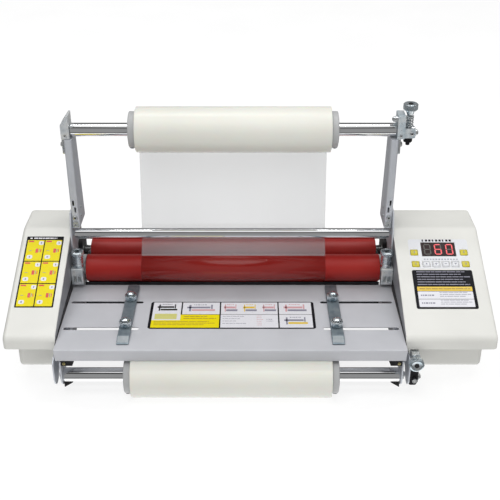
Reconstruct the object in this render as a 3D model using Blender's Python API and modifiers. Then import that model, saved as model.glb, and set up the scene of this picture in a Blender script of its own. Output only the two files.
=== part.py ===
"""Desktop roll laminator as an assembly of separate parts. Metres, +Z up, the feed side faces -Y."""

import math

import bmesh
import bpy
from mathutils import Vector

# ---- clearances and sheet thicknesses ----
GAP = 0.0003
WALL = 0.0025
PLATE = 0.0025
SHEET = 0.002

# ---- frame ----
HALF_WIDTH = 0.2715
PLATE_LEFT = -0.2135
PLATE_RIGHT = 0.1705
CENTRE_X = (PLATE_LEFT + PLATE_RIGHT) / 2
FOOT_HEIGHT = 0.0117
FOOT_RADIUS = 0.012
FOOT_X = (-0.241, 0.226)
FOOT_Y = (-0.015, 0.090)
FOOT_TAPER = 0.0015
FOOT_CHAMFER = 0.0015

# ---- casings: corners of the cover's side outline as (y, z, bend radius) ----
COVER_BOTTOM = 0.062
SLOPE_FRONT = (-0.095, 0.0765)
SLOPE_TOP = (0.050, 0.137)
COVER_CORNERS = (
    (-0.095, COVER_BOTTOM, 0.0),
    (*SLOPE_FRONT, 0.009),
    (*SLOPE_TOP, 0.020),
    (0.098, SLOPE_TOP[1], 0.006),
    (0.122, COVER_BOTTOM, 0.0),
)
EDGE_RADIUS = 0.004
BASE_FRONT = -0.060
BASE_REAR = 0.112
BASE_BOTTOM = 0.012
BASE_INSET = 0.005
PAN_Y = (0.030, 0.109)
SLOPE = math.atan2(SLOPE_TOP[1] - SLOPE_FRONT[1], SLOPE_TOP[0] - SLOPE_FRONT[0])

# ---- mains inlet ----
INLET_X = (0.206, 0.234)
INLET_Z = (0.030, 0.050)
INLET_FRONT = 0.094
INLET_PROUD = 0.0015
INLET_WALL = 0.003

# ---- rollers ----
ROLLER_RADIUS = 0.0165
CORE_RADIUS = 0.0125
JOURNAL_RADIUS = 0.005
SLEEVE_LEFT = -0.1965
SLEEVE_RIGHT = 0.1555
FRONT_AXIS_Y = 0.0386
REAR_AXIS_Y = 0.0800
LOWER_AXIS_Z = 0.0542
UPPER_AXIS_Z = LOWER_AXIS_Z + 2 * ROLLER_RADIUS + GAP
IDLER_RADIUS = 0.0065
IDLER_JOURNAL = 0.003
IDLER_AXIS = (0.045, 0.131)
IDLER_INSET = 0.0015

# ---- gear train ----
GEAR_MODULE = (UPPER_AXIS_Z - LOWER_AXIS_Z) / 18
GEAR_TEETH = 18
PINION_TEETH = 10
PRESSURE_ANGLE = math.radians(25)
ADDENDUM = 0.8
DEDENDUM = 1.0
TOOTH_SLACK = 0.00016
GEAR_X = 0.180
GEAR_WIDTH = 0.008
JOURNAL_END = 0.186
JOURNAL_PROUD = 0.0015
CORE_PROUD = 0.001

# ---- gear motor ----
MOTOR_X = (0.187, 0.210)
MOTOR_Y = (0.040, 0.079)
MOTOR_Z = (0.0205, 0.058)
MOTOR_CAN_RADIUS = 0.0175
MOTOR_CAN_END = 0.252
MOTOR_SHAFT_RADIUS = 0.003
MOTOR_SHAFT_X = (0.1755, 0.190)

# ---- supply rolls ----
FILM_RADIUS = 0.026
FILM_CORE_RADIUS = 0.0127
MANDREL_RADIUS = 0.00775
MANDREL_JOURNAL = 0.0035
COLLAR_RADIUS = 0.02075
COLLAR_WIDTH = 0.008
COLLAR_HUB = 0.010
UPPER_FILM_X = (-0.1295, 0.0915)
LOWER_FILM_X = (-0.1315, 0.0900)
UPPER_BODY_X = (-0.2039, 0.1609)
UPPER_JOURNAL_X = (-0.2130, 0.1870)
LOWER_BODY_X = (-0.2105, 0.1700)
LOWER_JOURNAL_X = (-0.2122, 0.1720)
UPPER_SUPPLY = (0.055, 0.2595)
LOWER_SUPPLY = (-0.096, 0.0285)
WEB_X = (-0.130, 0.090)
WEB_THICK = 0.0004
WEB_END_ANGLE = math.radians(255)

# ---- posts and brackets ----
POST_X = (-0.2113, -0.2023)
POST_Y = (0.044, 0.072)
POST_Z = (0.1385, 0.2510)
POST_FOOT = (
    (0.0345, 0.100, 0.004),
    (0.076, 0.100, 0.004),
    (0.076, 0.118, 0.004),
    (POST_Y[1], 0.160, 0.0),
    (POST_Y[0], 0.160, 0.0),
    (0.036, 0.140, 0.004),
    (0.0345, 0.122, 0.004),
)
LEFT_BRACKET_X = (-0.2140, -0.2043)
LEFT_BRACKET_PEAK_X = -0.2062
LEFT_BRACKET_Z = (0.268, 0.279)
RIGHT_BRACKET_X = (0.1613, 0.1745)
RIGHT_BRACKET_TOP = 0.2815
BRACKET_HALF_DEPTH = 0.010
TONGUE_THICK = 0.0024
TONGUE_Z = (0.232, 0.262)
BRAKE_TOP = 0.266
BRAKE_Y = (0.047, 0.063)
BRAKE_END = 0.188
LEFT_HANGER_X = (-0.2170, -0.2075)
RIGHT_HANGER_X = (0.1665, 0.1760)
HANGER_REAR = -0.0604
HANGER_TOP = 0.054
CHEEK = 0.0024
LOBE_RADIUS = 0.011
BRAKE_ARM_END = 0.1855
BRAKE_ARM_Y = (-0.104, -0.092)
BRAKE_ARM_Z = (0.020, 0.0605)
BLOCK_Y = (0.018, 0.058)
BLOCK_Z = (0.0755, 0.097)
BLOCK_WIDTH = 0.0137
PRESSURE_KNOB = (-0.2052, 0.026)
BRAKE_KNOB_X = 0.180
LOWER_KNOB_Z = 0.0555
HEAD_RADIUS = 0.0082
HEAD_THICK = 0.008
NECK_RADII = (0.0050, 0.0034)
STUD_RADIUS = 0.0020
UPPER_STUD_END = BRAKE_TOP - 0.0012
LOWER_STUD_END = -BRAKE_ARM_Y[1] + 0.0030
WELL_FLOOR = 0.0005
UPPER_HEAD_Z = 0.291
LOWER_HEAD_REACH = 0.118
FLANGE_RADIUS = 0.0079
PRESSURE_TOP = 0.118
PRESSURE_END = 0.089
PRESSURE_STUD = 0.0030

# ---- feed table and its guides ----
TABLE_TOP = 0.070
TABLE_FRONT = -0.110
TABLE_REAR = 0.027
APRON_BOTTOM = 0.0535
APRON_TUCK = 0.004
SLOT_X = (-0.207, -0.1275)
SLOT_ROWS = (-0.067, -0.012)
SLOT_HALF_WIDTH = 0.0018
GUIDE_X = -0.1395
GUIDE_WIDTH = 0.0135
GUIDE_THICK = 0.0037
GUIDE_Y = (-0.099, 0.020)
RAMP_LENGTH = 0.013
NOSE_THICK = 0.0012
THUMB_RADIUS = 0.0060
THUMB_HEIGHT = 0.0100
SCREW_RADIUS = 0.0013
NUT_RADIUS = 0.0050
NUT_THICK = 0.004

# ---- control panel, in distances across the machine and up the slope ----
BUTTON_RADIUS = 0.0043
BUTTON_FLANGE = 0.0052
BUTTON_LOW_ROW = -0.0018
BUTTON_HIGH_ROW = 0.0152
YELLOW_X = (0.1920, 0.2500)
WHITE_X = (0.2044, 0.2156, 0.2268, 0.2380)
WINDOW_AT = (0.2208, 0.0203)
WINDOW_SIZE = (0.0402, 0.0208)
WINDOW_DEPTH = (-0.0024, -0.0002)
BUTTON_PROUD = 0.0016
FLANGE_THICK = 0.001

SHARP_EDGE = math.radians(50)
CUT_REACH = 0.010
ACROSS = (math.pi / 2, 0, math.pi / 2)
FORWARD = (math.pi / 2, 0, 0)

COLOURS = {
    "cream": ((0.80, 0.80, 0.76), 0.42, 0.0),
    "grey_paint": ((0.43, 0.44, 0.47), 0.45, 0.0),
    "zinc": ((0.48, 0.53, 0.56), 0.32, 1.0),
    "chrome": ((0.80, 0.80, 0.80), 0.12, 1.0),
    "silicone": ((0.42, 0.02, 0.02), 0.35, 0.0),
    "film": ((0.86, 0.86, 0.80), 0.30, 0.0),
    "web": ((0.80, 0.81, 0.83), 0.20, 0.0),
    "nylon": ((0.75, 0.74, 0.70), 0.50, 0.0),
    "rubber": ((0.03, 0.03, 0.03), 0.80, 0.0),
    "collar": ((0.40, 0.40, 0.42), 0.45, 0.0),
    "dark_plastic": ((0.02, 0.02, 0.02), 0.35, 0.0),
    "window": ((0.06, 0.01, 0.01), 0.08, 0.0),
    "yellow": ((0.75, 0.55, 0.05), 0.40, 0.0),
    "white": ((0.80, 0.80, 0.78), 0.40, 0.0),
    "motor": ((0.30, 0.30, 0.31), 0.40, 1.0),
}


# ---------------------------------------------------------------- helpers
def material(name):
    """The named Principled material, made on first use."""
    found = bpy.data.materials.get(name)
    if found:
        return found
    colour, roughness, metallic = COLOURS[name]
    made = bpy.data.materials.new(name)
    made.use_nodes = True
    shader = made.node_tree.nodes["Principled BSDF"]
    shader.inputs["Base Color"].default_value = (*colour, 1)
    shader.inputs["Roughness"].default_value = roughness
    shader.inputs["Metallic"].default_value = metallic
    return made


def mirror_x(x):
    """The same place on the other side of the web's centre line."""
    return 2 * CENTRE_X - x


def mirror_span(span):
    return mirror_x(span[1]), mirror_x(span[0])


def add_object(name, mesh, finish):
    obj = bpy.data.objects.new(name, mesh)
    mesh.materials.clear()
    mesh.materials.append(material(finish))
    PARTS.objects.link(obj)
    return obj


def mesh_of(bm, name):
    mesh = bpy.data.meshes.new(name)
    bm.to_mesh(mesh)
    bm.free()
    return mesh


def box(name, xs, ys, zs, finish):
    """A box between the given limits."""
    bm = bmesh.new()
    bmesh.ops.create_cube(bm, size=1)
    size = Vector((xs[1] - xs[0], ys[1] - ys[0], zs[1] - zs[0]))
    middle = Vector((sum(xs) / 2, sum(ys) / 2, sum(zs) / 2))
    bmesh.ops.scale(bm, vec=size, verts=bm.verts)
    bmesh.ops.translate(bm, vec=middle, verts=bm.verts)
    return add_object(name, mesh_of(bm, name), finish)


def rod(name, radius, xs, y, z, finish, segments=24):
    """A cylinder along X."""
    bm = bmesh.new()
    bmesh.ops.create_cone(
        bm, cap_ends=True, segments=segments, radius1=radius, radius2=radius, depth=xs[1] - xs[0]
    )
    obj = add_object(name, mesh_of(bm, name), finish)
    obj.rotation_euler = ACROSS
    obj.location = (sum(xs) / 2, y, z)
    obj.data.shade_smooth()
    obj.data.set_sharp_from_angle(angle=math.radians(40))
    return obj


def turned(name, profile, finish, steps=32):
    """A turned part from (radius, height) points that run down its outer side."""
    bm = bmesh.new()
    verts = [bm.verts.new((radius, 0, height)) for radius, height in profile]
    for first, second in zip(verts, verts[1:]):
        bm.edges.new((first, second))
    if profile[0][0] > 0:
        bm.edges.new((verts[-1], verts[0]))
    obj = add_object(name, mesh_of(bm, name), finish)
    screw = obj.modifiers.new("Turn", "SCREW")
    screw.axis = "Z"
    screw.steps = steps
    screw.render_steps = steps
    screw.use_merge_vertices = True
    screw.merge_threshold = 0.00001
    screw.use_smooth_shade = True
    return obj


def ring_profile(outer, inner, low, high):
    return [(outer, high), (outer, low), (inner, low), (inner, high)]


def flat_shape(name, outlines, thickness, finish):
    """A plate from closed outlines in its local XY plane; outlines inside the first are holes."""
    curve = bpy.data.curves.new(name, "CURVE")
    curve.dimensions = "2D"
    curve.fill_mode = "BOTH"
    curve.extrude = thickness / 2
    for outline in outlines:
        spline = curve.splines.new("POLY")
        spline.points.add(len(outline) - 1)
        for point, (across, up) in zip(spline.points, outline):
            point.co = (across, up, 0, 1)
        spline.use_cyclic_u = True
    source = bpy.data.objects.new(name + "_outline", curve)
    bpy.context.scene.collection.objects.link(source)
    graph = bpy.context.evaluated_depsgraph_get()
    mesh = bpy.data.meshes.new_from_object(source.evaluated_get(graph))
    bpy.data.objects.remove(source)
    bm = bmesh.new()
    bm.from_mesh(mesh)
    bmesh.ops.remove_doubles(bm, verts=bm.verts, dist=0.000001)
    bmesh.ops.recalc_face_normals(bm, faces=bm.faces)
    bm.to_mesh(mesh)
    bm.free()
    return add_object(name, mesh, finish)


def side_shape(name, outlines, xs, finish):
    """A plate whose outlines are (y, z) points, between two places across the machine."""
    obj = flat_shape(name, outlines, xs[1] - xs[0], finish)
    obj.rotation_euler = ACROSS
    obj.location = (sum(xs) / 2, 0, 0)
    return obj


def circle(y, z, radius, count=20):
    turns = [2 * math.pi * i / count for i in range(count)]
    return [(y + radius * math.cos(t), z + radius * math.sin(t)) for t in turns]


def rounded(corners, steps=3):
    """The points of a chain of (x, y, radius) corners, with an arc at each one that has a radius."""
    points = []
    for i, (x, y, radius) in enumerate(corners):
        if radius == 0:
            points.append((x, y))
            continue
        here = Vector((x, y))
        back = (Vector(corners[i - 1][:2]) - here).normalized()
        ahead = (Vector(corners[(i + 1) % len(corners)][:2]) - here).normalized()
        half = back.angle(ahead) / 2
        centre = here + (back + ahead).normalized() * radius / math.sin(half)
        start = here + back * radius / math.tan(half) - centre
        end = here + ahead * radius / math.tan(half) - centre
        first = math.atan2(start.y, start.x)
        sweep = (math.atan2(end.y, end.x) - first + math.pi) % (2 * math.pi) - math.pi
        for step in range(steps + 1):
            turn = first + sweep * step / steps
            points.append((centre.x + radius * math.cos(turn), centre.y + radius * math.sin(turn)))
    return points


def inset_chain(corners, distance):
    """An open chain of corners moved to its right by a distance."""
    lines = []
    for (y0, z0, _), (y1, z1, _) in zip(corners, corners[1:]):
        along = Vector((y1 - y0, z1 - z0)).normalized()
        lines.append((Vector((y0, z0)) + Vector((along.y, -along.x)) * distance, along))
    start = lines[0][0]
    end = lines[-1][0] + lines[-1][1] * (Vector(corners[-1][:2]) - Vector(corners[-2][:2])).length
    moved = [(start.x, start.y, 0.0)]
    for (p, u), (q, v), corner in zip(lines, lines[1:], corners[1:]):
        reach = (q - p).cross(v) / u.cross(v)
        moved.append((*(p + u * reach), max(corner[2] - distance, 0.0)))
    moved.append((end.x, end.y, 0.0))
    return moved


def boolean(obj, other, operation):
    modifier = obj.modifiers.new(operation.title(), "BOOLEAN")
    modifier.operation = operation
    modifier.solver = "EXACT"
    modifier.object = other
    PARTS.objects.unlink(other)
    CUTTERS.objects.link(other)
    other.hide_render = True
    other.display_type = "WIRE"


def cut(obj, *cutters):
    for cutter in cutters:
        boolean(obj, cutter, "DIFFERENCE")


def join(obj, *others):
    for other in others:
        boolean(obj, other, "UNION")


def side_names(part):
    return "left_" + part, "right_" + part


# ---------------------------------------------------------------- frame
def side_plates():
    """The two steel plates that carry every roller, just inside the casings."""
    cover = inset_chain(COVER_CORNERS, WALL + GAP)
    seam = COVER_BOTTOM + GAP
    outline = rounded(cover[:-1])
    outline[0] = (cover[0][0], seam)
    rear = cover[-1]
    outline += [(rear[0] - 0.0005, seam), (BASE_REAR - WALL - GAP, seam)]
    outline += [(BASE_REAR - WALL - GAP, BASE_BOTTOM), (BASE_FRONT + WALL, BASE_BOTTOM)]
    outline.append((BASE_FRONT + WALL, seam))
    holes = [
        circle(y, z, JOURNAL_RADIUS + GAP)
        for y in (FRONT_AXIS_Y, REAR_AXIS_Y)
        for z in (LOWER_AXIS_Z, UPPER_AXIS_Z)
    ]
    spans = (PLATE_LEFT - PLATE, PLATE_LEFT), (PLATE_RIGHT, PLATE_RIGHT + PLATE)
    for name, span in zip(side_names("side_plate"), spans):
        side_shape(name, [outline, *holes], span, "grey_paint")


def base_pan():
    inside = PLATE_LEFT + GAP, PLATE_RIGHT - GAP
    box("base_pan", inside, PAN_Y, (BASE_BOTTOM, BASE_BOTTOM + SHEET), "grey_paint")


def feet():
    profile = [
        (0, FOOT_HEIGHT),
        (FOOT_RADIUS, FOOT_HEIGHT),
        (FOOT_RADIUS - FOOT_TAPER, FOOT_CHAMFER),
        (FOOT_RADIUS - FOOT_TAPER - FOOT_CHAMFER, 0),
        (0, 0),
    ]
    for side, x in zip(("left", "right"), FOOT_X):
        for end, y in zip(("front", "rear"), FOOT_Y):
            foot = turned(f"{side}_{end}_foot", profile, "rubber", steps=16)
            foot.location = (x, y, 0)


def casing_cover(name, x_inner, x_outer):
    """A moulded cover, open below and on its inner side."""
    chain = rounded(COVER_CORNERS)
    bm = bmesh.new()
    inner = [bm.verts.new((x_inner, y, z)) for y, z in chain]
    outer = [bm.verts.new((x_outer, y, z)) for y, z in chain]
    for i in range(len(chain) - 1):
        bm.faces.new((inner[i], inner[i + 1], outer[i + 1], outer[i]))
    bm.faces.new(outer)
    bmesh.ops.recalc_face_normals(bm, faces=bm.faces)
    top = max(bm.faces, key=lambda face: face.calc_center_median().z)
    if top.normal.z < 0:
        bmesh.ops.reverse_faces(bm, faces=bm.faces)
    cover = add_object(name, mesh_of(bm, name), "cream")
    soften_and_thicken(cover)
    return cover


def casing_base(name, x_inner, x_outer):
    """The lower tray of a casing, open above and on its inner side."""
    bm = bmesh.new()
    bmesh.ops.create_cube(bm, size=1)
    size = Vector((abs(x_outer - x_inner), BASE_REAR - BASE_FRONT, COVER_BOTTOM - GAP - BASE_BOTTOM))
    middle = Vector(((x_inner + x_outer) / 2, (BASE_FRONT + BASE_REAR) / 2, BASE_BOTTOM + size.z / 2))
    bmesh.ops.scale(bm, vec=size, verts=bm.verts)
    bmesh.ops.translate(bm, vec=middle, verts=bm.verts)
    inward = 1 if x_inner > x_outer else -1
    open_faces = [f for f in bm.faces if f.normal.z > 0.5 or f.normal.x * inward > 0.5]
    bmesh.ops.delete(bm, geom=open_faces, context="FACES")
    base = add_object(name, mesh_of(bm, name), "cream")
    soften_and_thicken(base)
    return base


def soften_and_thicken(shell):
    bevel = shell.modifiers.new("Soften", "BEVEL")
    bevel.width = EDGE_RADIUS
    bevel.segments = 2
    bevel.limit_method = "ANGLE"
    bevel.angle_limit = SHARP_EDGE
    solid = shell.modifiers.new("Wall", "SOLIDIFY")
    solid.thickness = WALL
    solid.offset = -1
    solid.use_even_offset = True


def casings():
    casing_cover("left_casing_cover", PLATE_LEFT - 0.0001, -HALF_WIDTH)
    right = casing_cover("right_casing_cover", PLATE_RIGHT + 0.0001, HALF_WIDTH)
    cut_panel(right)
    casing_base("left_casing_base", PLATE_LEFT - PLATE - GAP, -HALF_WIDTH + BASE_INSET)
    base = casing_base("right_casing_base", PLATE_RIGHT + PLATE + GAP, HALF_WIDTH - BASE_INSET)
    power_inlet(base)


def power_inlet(base):
    """The mains inlet in the rear wall of the right base, open to the rear."""
    front, face = INLET_FRONT, BASE_REAR + INLET_PROUD
    inlet = box("power_inlet", INLET_X, (front, face), INLET_Z, "dark_plastic")
    well_x = INLET_X[0] + INLET_WALL, INLET_X[1] - INLET_WALL
    well_z = INLET_Z[0] + INLET_WALL, INLET_Z[1] - INLET_WALL
    rear = BASE_REAR + CUT_REACH
    cut(inlet, box("inlet_well", well_x, (front + INLET_WALL, rear), well_z, "dark_plastic"))
    window_x = INLET_X[0] - GAP, INLET_X[1] + GAP
    window_z = INLET_Z[0] - GAP, INLET_Z[1] + GAP
    cut(base, box("inlet_window", window_x, (BASE_REAR - 2 * WALL, rear), window_z, "cream"))


# ---------------------------------------------------------------- control panel
def panel_frame():
    """An empty on the right casing's slope: its x runs across, y up the slope, z out of the panel."""
    frame = bpy.data.objects.new("panel_frame", None)
    PARTS.objects.link(frame)
    frame.location = (0, 0, SLOPE_FRONT[1] - SLOPE_FRONT[0] * math.tan(SLOPE))
    frame.rotation_euler = (SLOPE, 0, 0)
    return frame


def button_places():
    places = [("yellow", x, row) for row in (BUTTON_HIGH_ROW, BUTTON_LOW_ROW) for x in YELLOW_X]
    return places + [("white", x, BUTTON_LOW_ROW) for x in WHITE_X]


def cut_panel(cover):
    """The window's opening and the buttons' holes, through the cover's wall."""
    half_width, half_length = WINDOW_SIZE[0] / 2, WINDOW_SIZE[1] / 2
    window = box(
        "window_opening",
        (-half_width, half_width),
        (-half_length, half_length),
        (-CUT_REACH, CUT_REACH),
        "cream",
    )
    window.location = (*WINDOW_AT, 0)
    window.parent = PANEL
    cut(cover, window)
    for i, (_, x, up) in enumerate(button_places()):
        hole_radius = BUTTON_RADIUS + GAP
        profile = [(0, CUT_REACH), (hole_radius, CUT_REACH), (hole_radius, -CUT_REACH), (0, -CUT_REACH)]
        hole = turned(f"button_hole_{i}", profile, "cream", steps=16)
        hole.location = (x, up, 0)
        hole.parent = PANEL
        cut(cover, hole)


def panel_parts():
    half_width, half_length = WINDOW_SIZE[0] / 2 - GAP, WINDOW_SIZE[1] / 2 - GAP
    window = box(
        "display_window",
        (-half_width, half_width),
        (-half_length, half_length),
        WINDOW_DEPTH,
        "window",
    )
    window.location = (*WINDOW_AT, 0)
    window.parent = PANEL
    flange_top = -WALL - GAP
    profile = [
        (0, BUTTON_PROUD),
        (BUTTON_RADIUS, BUTTON_PROUD),
        (BUTTON_RADIUS, flange_top),
        (BUTTON_FLANGE, flange_top),
        (BUTTON_FLANGE, flange_top - FLANGE_THICK),
        (0, flange_top - FLANGE_THICK),
    ]
    counts = {"yellow": 0, "white": 0}
    for colour, x, up in button_places():
        counts[colour] += 1
        button = turned(f"{colour}_button_{counts[colour]}", profile, colour, steps=16)
        button.location = (x, up, 0)
        button.parent = PANEL


# ---------------------------------------------------------------- rollers and drive
def roller(name, y, z):
    """A steel shaft with its journals, and the silicone sleeve on it."""
    core = SLEEVE_LEFT - CORE_PROUD, SLEEVE_RIGHT + CORE_PROUD
    ends = PLATE_LEFT - PLATE - JOURNAL_PROUD, JOURNAL_END
    profile = [
        (0, ends[1]),
        (JOURNAL_RADIUS, ends[1]),
        (JOURNAL_RADIUS, core[1]),
        (CORE_RADIUS, core[1]),
        (CORE_RADIUS, core[0]),
        (JOURNAL_RADIUS, core[0]),
        (JOURNAL_RADIUS, ends[0]),
        (0, ends[0]),
    ]
    shaft = turned(name + "_roller_shaft", profile, "chrome", steps=20)
    sleeve_ring = ring_profile(ROLLER_RADIUS, CORE_RADIUS + GAP, SLEEVE_LEFT, SLEEVE_RIGHT)
    sleeve = turned(name + "_roller_sleeve", sleeve_ring, "silicone", steps=32)
    for piece in (shaft, sleeve):
        piece.rotation_euler = ACROSS
        piece.location = (0, y, z)


def idler():
    bar = POST_X[0] + IDLER_INSET, mirror_x(POST_X[0] + IDLER_INSET)
    ends = PLATE_LEFT + 2 * GAP, PLATE_RIGHT - 2 * GAP
    profile = [
        (0, ends[1]),
        (IDLER_JOURNAL, ends[1]),
        (IDLER_JOURNAL, bar[1]),
        (IDLER_RADIUS, bar[1]),
        (IDLER_RADIUS, bar[0]),
        (IDLER_JOURNAL, bar[0]),
        (IDLER_JOURNAL, ends[0]),
        (0, ends[0]),
    ]
    obj = turned("idler_bar", profile, "chrome", steps=20)
    obj.rotation_euler = ACROSS
    obj.location = (0, *IDLER_AXIS)


def involute(angle):
    return math.tan(angle) - angle


def gear_outline(teeth, phase):
    """An involute gear's outline with one tooth centred at the phase angle."""
    pitch = GEAR_MODULE * teeth / 2
    base = pitch * math.cos(PRESSURE_ANGLE)
    tip = pitch + ADDENDUM * GEAR_MODULE
    root = pitch - DEDENDUM * GEAR_MODULE
    half_tooth = math.pi / (2 * teeth) - TOOTH_SLACK / (2 * pitch) + involute(PRESSURE_ANGLE)
    start = max(base, root)
    radii = [start + (tip - start) * step / 2 for step in range(3)]
    flank = [(radius, half_tooth - involute(math.acos(base / radius))) for radius in radii]
    if root < base:
        flank.insert(0, (root, flank[0][1]))
    tooth = [(radius, -turn) for radius, turn in flank] + [(r, t) for r, t in reversed(flank)]
    points = []
    for i in range(teeth):
        centre = phase + 2 * math.pi * i / teeth
        points += [(r * math.cos(centre + t), r * math.sin(centre + t)) for r, t in tooth]
    return points


def meshing_phase(phase, teeth, direction, other_teeth):
    """The phase of the gear that lies in a direction from another and meshes with it."""
    offset = (direction - phase) * teeth / (2 * math.pi)
    return direction + math.pi - (0.5 - offset) * 2 * math.pi / other_teeth


def gear(name, teeth, phase, bore, y, z, finish):
    outlines = [gear_outline(teeth, phase), circle(0, 0, bore, 14)]
    obj = flat_shape(name, outlines, GEAR_WIDTH, finish)
    obj.rotation_euler = ACROSS
    obj.location = (GEAR_X, y, z)


def drive_train():
    """Four roller gears, and the pinion that drives both lower ones."""
    middle = (FRONT_AXIS_Y + REAR_AXIS_Y) / 2
    reach = GEAR_MODULE * (GEAR_TEETH + PINION_TEETH) / 2
    drop = math.sqrt(reach**2 - (middle - FRONT_AXIS_Y) ** 2)
    down = -math.atan2(drop, middle - FRONT_AXIS_Y)
    up = math.pi / 2
    front = up
    pinion = meshing_phase(front, GEAR_TEETH, down, PINION_TEETH)
    rear = meshing_phase(pinion, PINION_TEETH, -down, GEAR_TEETH)
    bore = JOURNAL_RADIUS + GAP
    for name, y, phase in (("front", FRONT_AXIS_Y, front), ("rear", REAR_AXIS_Y, rear)):
        above = meshing_phase(phase, GEAR_TEETH, up, GEAR_TEETH)
        gear(f"lower_{name}_gear", GEAR_TEETH, phase, bore, y, LOWER_AXIS_Z, "nylon")
        gear(f"upper_{name}_gear", GEAR_TEETH, above, bore, y, UPPER_AXIS_Z, "nylon")
    pinion_z = LOWER_AXIS_Z - drop
    gear("motor_pinion", PINION_TEETH, pinion, MOTOR_SHAFT_RADIUS + GAP, middle, pinion_z, "zinc")
    body = box("gear_motor", MOTOR_X, MOTOR_Y, MOTOR_Z, "motor")
    can_x = MOTOR_X[1] - 0.001, MOTOR_CAN_END
    can = rod("motor_can", MOTOR_CAN_RADIUS, can_x, middle, pinion_z + 0.001, "motor", 28)
    shaft = rod("motor_shaft", MOTOR_SHAFT_RADIUS, MOTOR_SHAFT_X, middle, pinion_z, "motor", 16)
    join(body, can, shaft)


# ---------------------------------------------------------------- supply rolls
def supply(name, film_x, centre, shaft_x, journals):
    """A mandrel, the roll of film on it and a collar at each end of the roll."""
    profile = [
        (0, journals[1]),
        (MANDREL_JOURNAL, journals[1]),
        (MANDREL_JOURNAL, shaft_x[1]),
        (MANDREL_RADIUS, shaft_x[1]),
        (MANDREL_RADIUS, shaft_x[0]),
        (MANDREL_JOURNAL, shaft_x[0]),
        (MANDREL_JOURNAL, journals[0]),
        (0, journals[0]),
    ]
    pieces = [turned(name + "_mandrel", profile, "chrome", steps=20)]
    ring = ring_profile(FILM_RADIUS, FILM_CORE_RADIUS, *film_x)
    pieces.append(turned(name + "_film_roll", ring, "film", steps=40))
    bore = MANDREL_RADIUS + GAP
    hub = FILM_CORE_RADIUS - GAP
    for side, face, outward in (("left", film_x[0], -1), ("right", film_x[1], 1)):
        near = face + outward * GAP
        profile = [
            (COLLAR_RADIUS, near + outward * COLLAR_WIDTH),
            (COLLAR_RADIUS, near),
            (hub, near),
            (hub, near - outward * COLLAR_HUB),
            (bore, near - outward * COLLAR_HUB),
            (bore, near + outward * COLLAR_WIDTH),
        ]
        if outward < 0:
            profile.reverse()
        pieces.append(turned(f"{name}_{side}_collar", profile, "collar", steps=24))
    for piece in pieces:
        piece.rotation_euler = ACROSS
        piece.location = (0, *centre)


def tangent(first, second):
    """Where a belt leaves the first directed circle and meets the second: two angles round them."""
    (y0, z0, r0, turn0), (y1, z1, r1, turn1) = first, second
    span = math.hypot(y1 - y0, z1 - z0)
    heading = math.atan2(z1 - z0, y1 - y0) + math.asin((turn0 * r0 - turn1 * r1) / span)
    return heading - turn0 * math.pi / 2, heading - turn1 * math.pi / 2


def arc(round_circle, start, end, steps):
    """(y, z, outward angle) along a circle's arc."""
    y, z, radius, _ = round_circle
    turns = [start + (end - start) * i / steps for i in range(steps + 1)]
    return [(y + radius * math.cos(t), z + radius * math.sin(t), t) for t in turns]


def film_web():
    """The film from the back of the upper roll, behind the idler bar, and over the front roller."""
    stand_off = GAP + WEB_THICK / 2
    roll = (*UPPER_SUPPLY, FILM_RADIUS + stand_off, -1)
    bar = (*IDLER_AXIS, IDLER_RADIUS + stand_off, -1)
    hot = (FRONT_AXIS_Y, UPPER_AXIS_Z, ROLLER_RADIUS + stand_off, 1)
    leave_roll, reach_bar = tangent(roll, bar)
    leave_bar, reach_hot = tangent(bar, hot)
    path = [(*p, -1) for p in arc(roll, leave_roll, leave_roll, 1)[:1]]
    path += [(*p, -1) for p in arc(bar, reach_bar, leave_bar, 5)]
    path += [(*p, 1) for p in arc(hot, reach_hot % (2 * math.pi), WEB_END_ANGLE, 14)]
    half = WEB_THICK / 2
    left = [(y - s * half * math.cos(t), z - s * half * math.sin(t)) for y, z, t, s in path]
    right = [(y + s * half * math.cos(t), z + s * half * math.sin(t)) for y, z, t, s in path]
    side_shape("upper_film_web", [left + right[::-1]], WEB_X, "web")


# ---------------------------------------------------------------- posts and brackets
def post(name, x_span, outward, plate_x):
    """A folded channel, open to the rear, on a foot plate that also carries the idler bar."""
    left, right = x_span
    front, back = POST_Y
    section = [(left, front), (right, front), (right, back), (right - SHEET, back)]
    section += [(right - SHEET, front + SHEET), (left + SHEET, front + SHEET)]
    section += [(left + SHEET, back), (left, back)]
    channel = flat_shape(name, [section], POST_Z[1] - POST_Z[0], "grey_paint")
    channel.location = (0, 0, sum(POST_Z) / 2)
    outer = left if outward < 0 else right
    foot_x = sorted((plate_x, outer - outward * 0.0005))
    hole = circle(*IDLER_AXIS, IDLER_JOURNAL + GAP, 16)
    foot = side_shape(name + "_foot", [rounded(POST_FOOT), hole], foot_x, "grey_paint")
    join(channel, foot)


def mandrel_bracket(name, corners, tongue_x):
    """A block on top of a post, from its (x, z) outline, with a tongue beside the post."""
    plate = flat_shape(name, [corners], 2 * BRACKET_HALF_DEPTH, "zinc")
    plate.rotation_euler = FORWARD
    plate.location = (0, UPPER_SUPPLY[0], 0)
    join(plate, box(name + "_tongue", tongue_x, BRAKE_Y, TONGUE_Z, "zinc"))
    return plate


def mandrel_bore(bracket, xs):
    reach = xs[0] - CUT_REACH, xs[1] + CUT_REACH
    cut(bracket, rod(bracket.name + "_bore", MANDREL_JOURNAL + GAP, reach, *UPPER_SUPPLY, "zinc", 20))


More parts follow.
